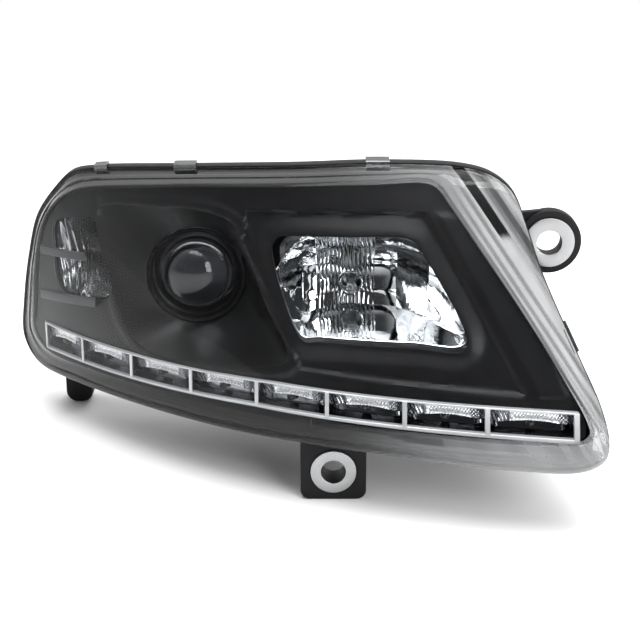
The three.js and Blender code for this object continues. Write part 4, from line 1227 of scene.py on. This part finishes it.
for name, at, neck, port in BEAM_PORTS:
    piece(f"{name}_beam_cap", cover(at, neck, 12 if name == "low" else 10), f"{name}_beam_cover")
    piece(f"{name}_beam_gasket", tube(at, port + 0.5, neck - 0.2, BACK + 9.4, BACK + 13.1, 1.4),
          f"{name}_beam_cover_seal")


def crossed(solid, x, z, length, width, radius, y0, y1):
    """A solid with a cross slot sunk into its back."""
    return cut(solid, block(x, z, length, width, radius, y0, y1, 0.1),
               block(x, z, width, length, radius, y0, y1, 0.1))


def screw_head(x, z, y):
    profile = [(0, y - 1), (2.9, y - 1), (2.9, y + 0.9), (1.8, y + 1.9), (0, y + 2.2)]
    return crossed(lathe((x, z), soft(profile, 0.4), 32), x, z, 3.2, 0.8, 0.2, y + 1, y + 4)


collar = behind((0, -12), (4.6, -12), (4.6, -18), (11.2, -18), (11.6, -17.6), (11.6, 1), (0, 1))
piece("levelling_unit", merged(
    lathe(MOTOR, collar, 64),
    back_block(5, 116, 52, 44, 12, 0.4, 16.5, 1.8),
    back_block(5, 118, 40, 30, 9, 16, 18, 0.8),
    back_block(-3, 104, 22, 14, 2, 16, 22, 0.6),
    *[back_block(x, 116, 1.6, 36, 0.7, 17, 18.8, 0.3) for x in (17, 21, 25)]),
    "levelling_motor")
heads = [screw_head(x, z, BACK + 16.5) for x, z in ((-15, 134), (25, 98))]
piece("levelling_screws", merged(*heads), like="levelling_motor", slot="steel")
plunger = [(0, 65), (2, 65.3), (4, 67), (5, 70), (4.2, 72.8), (3, 74.2), (2.6, 78), (4, 82),
           *behind((4, -19), (3.6, -18.6), (0, -18.6))]
piece("levelling_rod", lathe(MOTOR, plunger, 48), "levelling_plunger")


def adjuster(at, front):
    """A threaded screw with a gear-edged wheel outside the back wall."""
    turns = [(3 - 0.45 * (k % 2), front + 2 + 0.5 * k) for k in range(int((BACK - 12 - front) * 2))]
    shaft = lathe(at, [(0, front), (2, front + 0.4), *turns, *behind((3, -9), (3, 1), (0, 1))], 24)
    a = np.arange(160) / 160 * math.tau
    radius = 9.0 + 0.5 * np.sign(np.sin(a * 20))
    star = [(at[0] + r * math.cos(t), at[1] + r * math.sin(t)) for r, t in zip(radius, a)]
    wheel = plate(star, BACK + 0.6, BACK + 6, 0.3)
    head = lathe(at, soft(behind((0, 5.8), (8, 5.8), (6, 8), (6, 18), (0, 18)), 0.7), 48)
    return merged(shaft, wheel, crossed(head, *at, 8, 1.8, 0.4, BACK + 14, BACK + 20))


piece("vertical_screw_wheel", adjuster(TILT_SCREW, 46), "vertical_adjuster")
piece("horizontal_screw_wheel", adjuster(SWING_SCREW, 44), "horizontal_adjuster")

x, z = MAIN_PLUG
shroud = combined(
    back_block(x, z, 44, 26, 4, 3, 22, 0.5),
    ("UNION", back_block(x, z, 52, 34, 4, 0.4, 4, 0.6)),
    ("UNION", back_block(x, z, 39, 21, 2.6, -12, 1, 0.6)),
    ("DIFFERENCE", back_block(x, z, 38, 20, 3, 8, 40, 0.1)))
keys = [back_block(x + d, z + 12.6, 3, 4, 0.6, 4, 16, 0.4) for d in (-12, 12)]
pins = [back_block(x + 5.4 * (i - 2.5), z + 4.5 * side, 1.6, 0.8, 0.2, 6, 17, 0.25)
        for i in range(6) for side in (-1, 1)]
piece("main_plug", merged(shroud, *keys), "main_connector")
piece("main_plug_pins", merged(*pins), like="main_connector", slot="zinc")

fins = [back_block(196 + d, 170, 1.8, 34, 0.7, 9, 12.6, 0.4) for d in range(-19, 20, 4)]
piece("strip_driver_box", merged(back_block(196, 172, 46, 44, 4, 0.4, 10, 0.9), *fins,
                                 back_block(196, 190, 24, 8, 1, 9, 18, 0.5)),
      "strip_driver")
vent = behind((0, 0.4), (8.6, 0.4), (8, 3), (8, 10), (6.5, 11.4), (0, 11.6))
for name, x, z in (("outer", -158, 122), ("inner", 196, 140)):
    elbow = wire([(x, BACK + 6, z), (x, BACK + 6.2, z - 6), (x, BACK + 6, z - 16)], 5, 6, 32)
    piece(f"vent_elbow_{name}", merged(lathe((x, z), soft(vent, 0.6), 48), elbow), f"vent_cap_{name}")

# ---- bushes and clips ----

def washer(name, at, outer, y0, y1):
    """A steel bush with a collar in front; its bore is painted black as shade."""
    profile = [(12, y0), (outer + 1.2, y0), (outer + 1.2, y0 + 1.6), (outer, y0 + 1.6),
               (outer, y1), (12, y1)]

    def in_shaded_bore(centre):
        return math.hypot(centre.x - at[0], centre.z - at[1]) < 12.1
    piece(f"{name}_washer", turned(at, profile), f"{name}_bush",
          finish="washer", faces_finish=("black_steel", in_shaded_bore))


washer("upper", UPPER_TAB, 23, -59.4, -43)
washer("lower", LOWER_BRACKET, 21, -114.8, -86)


def rim_at(u):
    i = int(math.floor(u))
    a, b = rim_loop[i % len(rim_loop)], rim_loop[(i + 1) % len(rim_loop)]
    way = rim_loop[(i + 5) % len(rim_loop)] - rim_loop[(i - 4) % len(rim_loop)]
    return mix(a, b, u - i), way / math.hypot(way[0], way[2])


def clip(first, last):
    """A spring clip of bent strip that hugs the rim channel."""
    outline = [(-0.9, -2.6), (-0.9, 0.5), (-0.4, 1.0), (CHANNEL + 0.4, 1.0), (CHANNEL + 0.9, 0.5),
               (CHANNEL + 0.9, -5), (CHANNEL + 2.2, -6.2), (CHANNEL + 2.9, -5.4),
               (CHANNEL + 1.9, -4), (CHANNEL + 1.9, 1.2), (CHANNEL + 1, 2.1), (-1, 2.1),
               (-1.9, 1.2), (-1.9, -2), (-3.4, -2.9), (-2.6, -3.6)]
    rings = []
    for u in np.linspace(first, last, 9):
        point, way = rim_at(u * STEPS / 2)
        rings.append(np.array([point + (-way[2] * c, b, way[0] * c) for b, c in outline]))
    return capped(rings)


for name, first, last in (("outer", 12.04, 12.4), ("middle", 13.75, 14.17),
                          ("inner", 17.7, 18.28), ("side", 30.75, 31.6)):
    piece(f"spring_clip_{name}", clip(first, last), f"lens_clip_{name}", smooth=25)

# ---- floor, light and camera, in metres except the floor's mesh ----

FLOOR_REACH = 6000
EYE = (0.034, -1.3849, 0.6497)
EYE_TARGET = (0.034, -0.0905, 0.1786)

def white_far_away(made):
    """The floor runs out into the white backdrop without an edge."""
    tree = made.node_tree
    reach = add(tree, "VectorMath", {0: object_coords(tree)}, operation="LENGTH")
    far = spread(tree, reach.outputs["Value"], 0.7, 2.2, 0, 1)
    share = product(tree, far, add(tree, "LightPath").outputs["Is Camera Ray"])
    glow = add(tree, "Emission", {"Color": (1, 1, 1, 1)})
    show(tree, mixed(tree, share, tree.nodes["Principled BSDF"], glow))
    return made


def studio_floor():
    corners = [(x * FLOOR_REACH, z * FLOOR_REACH, 0) for x, z in ((-1, -1), (1, -1), (1, 1), (-1, 1))]
    floor = to_mesh("floor", (corners, [(0, 1, 2, 3)]))
    floor.materials.append(white_far_away(material("floor", (0.9, 0.9, 0.9), 0.9, tone=0.01)))
    made = placed("floor", floor)


def studio_world():
    """Grey surroundings, lighter behind, above and at the left; white as a backdrop."""
    world = bpy.data.worlds.new("studio")
    bpy.context.scene.world = world
    world.use_nodes = True
    tree = world.node_tree
    coords = add(tree, "TexCoord").outputs["Generated"]
    way = add(tree, "SeparateXYZ", {0: coords}).outputs
    glow = spread(tree, way["Y"], -0.8, 0.6, 0.05, 0.85)
    for other in (spread(tree, way["Z"], 0.55, 0.95, 0, 1),
                  spread(tree, way["X"], -0.5, -1.0, 0, 0.25)):
        glow = add(tree, "Math", {0: glow, 1: other}, operation="ADD").outputs[0]
    camera_ray = add(tree, "LightPath").outputs["Is Camera Ray"]
    either = add(tree, "Mix", {"Factor": camera_ray, "A": glow, "B": 1.0})
    back = tree.nodes["Background"].inputs
    tree.links.new(either.outputs["Result"], back["Strength"])
    back["Color"].default_value = (1, 1, 1, 1)


def aimed(made, place, target):
    made.location = place
    way = Vector(target) - Vector(place)
    made.rotation_euler = way.to_track_quat("-Z", "Y").to_euler()
    return made


def lamp(name, place, target, width, height, power):
    light = bpy.data.lights.new(name, "AREA")
    light.shape = "RECTANGLE"
    light.size = width
    light.size_y = height
    light.energy = power
    return aimed(placed(name, light), place, target)


def add_camera():
    view = bpy.data.cameras.new("view")
    view.lens = 81.5625
    view.sensor_width = 36.0
    bpy.context.scene.camera = aimed(placed("view", view), EYE, EYE_TARGET)


studio_floor()
studio_world()
bpy.context.scene.view_settings.view_transform = "Standard"
lamp("overhead", (0.1, -0.05, 1.7), (0, 0, 0.15), 1.8, 1.1, 30)
lamp("right_panel", (1.25, -1.6, 0.8), (0.05, 0, 0.2), 1.1, 1.2, 34)
lamp("right_low", (1.9, -0.3, 0.5), (0.1, 0, 0.2), 0.5, 0.8, 8)
lamp("rear", (0.3, 1.7, 1.2), (0, 0, 0.2), 1.3, 0.8, 18).visible_glossy = False
add_camera()
